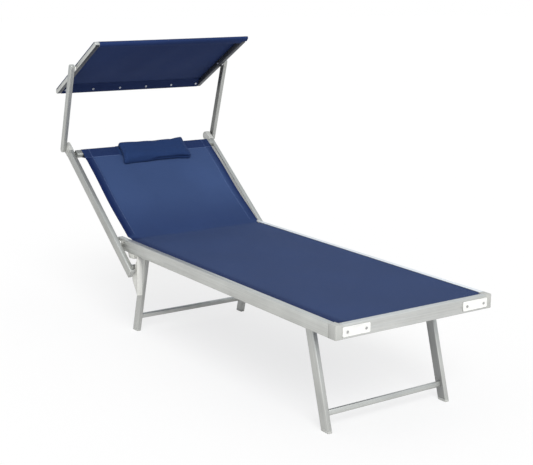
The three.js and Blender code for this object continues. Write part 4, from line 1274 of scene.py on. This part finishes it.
thicken(canopy)
give_finish(canopy, canopy_top_cloth, canopy_painted_shade_cloth, canopy_hem_and_painted_shade_cloth)
for polygon in canopy.data.polygons:
    along = canopy_along(polygon.center)
    facing_out = polygon.normal.dot(outward)
    on_rear_hem = along > bar_place - rear_sleeve and facing_out < hem_facing
    on_front_edge = along < -bar_place and under_facing < facing_out < top_facing
    if on_rear_hem or on_front_edge:
        polygon.material_index = 2
    elif facing_out < under_facing:
        polygon.material_index = 1
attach(canopy, "canopy")
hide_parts("canopy_fabric")
print("canopy faces:", len(canopy.data.polygons))

# %% [markdown]
# A snap is a pressed steel cap with a rolled rim. A cylinder is inset on its outer face, the disc inside
# the rim is pushed in, its middle is pushed out again, and the rim is rounded, which gives the ring of
# light that a real cap shows.

# %% Where the snaps are and how they face
def mesh_centre(node):
    points = [v.co for v in node.data.vertices]
    return sum(points, Vector()) / len(points)


def snap_normal(node):
    """The direction that a snap looks in: square to a flat end of its solid, and down."""
    largest = max(node.data.polygons, key=lambda p: p.area)
    normal = largest.normal.copy()
    return normal if normal.z < 0 else -normal


# %% Snaps
snap_radius = 0.005
snap_height = 0.0022
snap_rim, snap_wall = 0.0011, 0.0004
snap_dish = 0.0005
snap_dome_margin, snap_dome = 0.0009, 0.0007


def snap_cap(node_name):
    node = frame["nodes"][node_name]
    normal = snap_normal(node)
    centre = mesh_centre(node)
    centre -= outward * canopy_drop(centre.x, canopy_along(centre))
    cap = new_piece(node_name + "_cap", bpy.ops.mesh.primitive_cylinder_add, vertices=28,
                    radius=snap_radius, depth=snap_height, location=centre,
                    rotation=normal.to_track_quat("Z", "Y").to_euler())
    face_towards(cap, normal, 0.98)
    bpy.ops.mesh.inset(thickness=snap_rim)
    bpy.ops.mesh.inset(thickness=snap_wall)
    bpy.ops.transform.translate(value=normal * -snap_dish)
    bpy.ops.mesh.inset(thickness=snap_dome_margin)
    bpy.ops.transform.translate(value=normal * snap_dome)
    bpy.ops.object.mode_set(mode="OBJECT")
    add_bevel(cap, 0.0004, 2, 30)
    apply_all(cap)
    smooth_shading(50)
    give_finish(cap, snap_steel)
    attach(cap, "canopy")
    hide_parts(node_name)
    return cap


snaps = [snap_cap(f"canopy_snap_{i}") for i in range(1, 7)]
print("snaps:", len(snaps), "faces on each:", len(snaps[0].data.polygons))

# %% [markdown]
# Each canopy side tube turns on a rivet, whose domed head shows on the inner side.

# %% Rivet heads
rivet_radius = 0.0055
rivet_height = 0.003


def rivet_head(side, direction):
    centre = (direction * (tube_inner - rivet_height / 2), tilt_pivot.y, tilt_pivot.z)
    head = new_piece(f"tilt_rivet_head_{side}", bpy.ops.mesh.primitive_cylinder_add, vertices=28,
                     radius=rivet_radius, depth=rivet_height, location=centre,
                     rotation=(0, math.radians(90), 0))
    face_towards(head, (-direction, 0, 0), 0.98)
    bpy.ops.mesh.bevel(offset=rivet_height * 0.6, segments=4, affect="EDGES")
    bpy.ops.object.mode_set(mode="OBJECT")
    smooth_shading(40)
    give_finish(head, snap_steel)
    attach(head, "canopy")
    print(head.name, "faces:", len(head.data.polygons))


rivet_head("left", -1)
rivet_head("right", 1)

# %% [markdown]
# ## The head pillow
# The pillow is a flat bag of soft filling, so it is the one piece that is simulated. It starts as a thin
# slab on the backrest, a little smaller than the finished pillow. Remeshed finely and blown up by cloth
# pressure it swells in the middle and keeps its drawn-in edge, as a filled bag does. How far each point
# may move is capped, and what would sink into the sling is laid back on it.

# %% The pillow's slab
pillow_width, pillow_length = 315.0, 112.0
pillow_upper = 495.0
pillow_side_offset = 6.0
pillow_centre = pillow_upper - pillow_length / 2
pillow_slab = 24.0
pillow_rest = 0.9
slab_lift = 2.0


def sling_top(along):
    """The upper face of the sling, out from the tubes' centre line, in millimetres."""
    return chord_out(along) + cloth_thickness / millimetre / 2


slab_out = sling_top(pillow_centre) + pillow_rest + pillow_slab / 2 + slab_lift
pillow = new_piece(
    "pillow", bpy.ops.mesh.primitive_cube_add,
    size=1,
    location=(pillow_side_offset * millimetre, *on_backrest(pillow_centre, slab_out)),
    rotation=(recline, 0, 0),
    scale=((pillow_width - 1) * millimetre, (pillow_length - 3) * millimetre, pillow_slab * millimetre),
)
add_bevel(pillow, 0.005, 3, 30)
remesh = pillow.modifiers.new("even_mesh", "REMESH")
remesh.mode = "VOXEL"
remesh.voxel_size = 0.005
apply_all(pillow)
print("pillow points:", len(pillow.data.vertices))

# %% [markdown]
# The pressure of the cloth modifier is air that pushes from inside. Gravity stays off, because the
# pillow rests on the sling all over.

# %% Blow the pillow up
pillow_swell = 0.0075
swell_frames = 20
pillow_out = Vector((0, -math.sin(recline), math.cos(recline)))
pillow_along = Vector((0, math.cos(recline), math.sin(recline)))


def local(point):
    """(across, along, out) of a point on the backrest, in millimetres."""
    from_pivot = point - recline_pivot
    return (point.x / millimetre,
            from_pivot.dot(pillow_along) / millimetre,
            from_pivot.dot(pillow_out) / millimetre)


def world_place(across, along, out):
    return Vector((across * millimetre, *on_backrest(along, out)))


before = [v.co.copy() for v in pillow.data.vertices]
swelling = pillow.modifiers.new("swelling", "CLOTH")
swelling.settings.quality = 6
swelling.settings.mass = 0.3
swelling.settings.use_pressure = True
swelling.settings.uniform_pressure_force = 4.0
swelling.settings.tension_stiffness = 15
swelling.settings.compression_stiffness = 15
swelling.settings.bending_stiffness = 0.4
swelling.settings.effector_weights.gravity = 0
swelling.point_cache.frame_start = 1
swelling.point_cache.frame_end = swell_frames
for step in range(1, swell_frames + 1):
    bpy.context.scene.frame_set(step)
apply_all(pillow)
bpy.context.scene.frame_set(1)
for vertex, start in zip(pillow.data.vertices, before):
    move = vertex.co - start
    if move.length > pillow_swell:
        vertex.co = start + move.normalized() * pillow_swell
print("the pillow's points moved by", pillow_swell, "metres at most")

# %% [markdown]
# The underside lies on the sling. The filling has slumped to the left: there the lower side slopes down
# to the sling, and on the right it stands upright and has a deep tuck, as the photograph shows. The
# upper face has shallow creases. All of it is worked out in millimetres on the backrest: across it,
# along it and out of it.

# %% Underside, tuck and creases of the pillow
lower_edge = pillow_centre - pillow_length / 2
tuck_out = 14.0
tuck_depth = 7.0
tuck_height = 5.0
slump = 6.0
slump_height = 9.0
slope_length = 34.0
slope_share = 0.42
crease_depth = 0.8

for vertex in pillow.data.vertices:
    across, along, out = local(vertex.co)
    base = sling_top(along) + pillow_rest
    right_share = smooth(across, -45, 8)
    near_low = fade(along, lower_edge + 4, lower_edge + 16)
    tuck = math.exp(-((out - base - tuck_out) / tuck_height) ** 2)
    along += tuck_depth * right_share * near_low * tuck
    along -= slump * (1 - right_share) * near_low * math.exp(-((out - base) / slump_height) ** 2)
    slope = (1 - right_share) * fade(along, lower_edge, lower_edge + slope_length)
    out -= (out - base) * slope_share * slope
    if out > base + tuck_out:
        creases = math.sin(0.055 * across + 0.11 * along) * math.sin(0.021 * across - 0.06 * along)
        out += crease_depth * creases
    vertex.co = world_place(across, along, max(out, base))
soften = pillow.modifiers.new("soften", "SMOOTH")
soften.factor = 0.5
soften.iterations = 2
finer = pillow.modifiers.new("finer", "SUBSURF")
finer.levels = 1
finer.render_levels = 1
apply_all(pillow)
print("pillow faces:", len(pillow.data.polygons))

# %% [markdown]
# Swelling and smoothing leave a size of their own, so the pillow is stretched to the width and length
# that it should have. Its left side also leans a little, as the photograph shows.

# %% Size and lean of the pillow
wanted_across = (-152.5, 168.0)
wanted_along = (383.0, 496.5)
left_lean = 11.0


def stretched(value, reach, wanted):
    return wanted[0] + (value - reach[0]) / (reach[1] - reach[0]) * (wanted[1] - wanted[0])


places = [local(v.co) for v in pillow.data.vertices]
reach = [(min(p[i] for p in places), max(p[i] for p in places)) for i in range(3)]
print("pillow reach:", [(round(low, 1), round(high, 1)) for low, high in reach])
for vertex, (across, along, out) in zip(pillow.data.vertices, places):
    across = stretched(across, reach[0], wanted_across)
    along = stretched(along, reach[1], wanted_along)
    across += left_lean * fade(across, wanted_across[0], 0) * smooth(along, *wanted_along)
    vertex.co = world_place(across, along, out)
bpy.ops.object.shade_smooth()
give_finish(pillow, pillow_cloth)
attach(pillow, "backrest")

# %% [markdown]
# A strip of the same cloth, sewn to the pillow's upper edge, hooks it over the sleeve and hangs down
# behind the backrest. Like the sling it is a grid laid along a path, and it ripples a little where it
# hangs free.

# %% The pillow's flap
flap_wrap = wrap + 1.6
flap_bend = bar_corner + flap_wrap
flap_lift = 1.25
flap_hang = 30.0
flap_thickness = 0.0009
flap_ripple = 0.0006
flap_path = Path([
    on_backrest(pillow_centre, chord_out(pillow_centre) + flap_lift),
    on_backrest(bar_along - 4, bar_out + bar_half_height + flap_wrap),
    *arc(on_backrest, (far_along, high_out), flap_bend, 90, 0),
    *arc(on_backrest, (far_along, low_out), flap_bend, 0, -60),
    on_backrest(far_along - 4, low_out - flap_bend - 1),
    on_backrest(far_along - 4 - flap_hang * 0.4, low_out - flap_bend - flap_hang * 0.2),
])
flap_half = (pillow_width / 2 - 5) * millimetre


def flap_span(length):
    return -flap_half, flap_half


def flap_drop(x, length):
    return -flap_ripple * math.sin(30 * x) * smooth(length, flap_path.length * 0.6, flap_path.length)


flap_rows = even(0.0, flap_path.length, 44) + [flap_path.length]
flap_columns = edge_columns([0.0, 0.001, 0.009, 0.010], 30)
flap = cloth_along("pillow_flap", flap_rows, flap_columns, flap_span, flap_path, flap_drop)[0]
for vertex in flap.data.vertices:
    vertex.co.x += pillow_side_offset * millimetre
thicken(flap, flap_thickness)
give_finish(flap, pillow_cloth)
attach(flap, "backrest")
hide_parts("head_pillow")
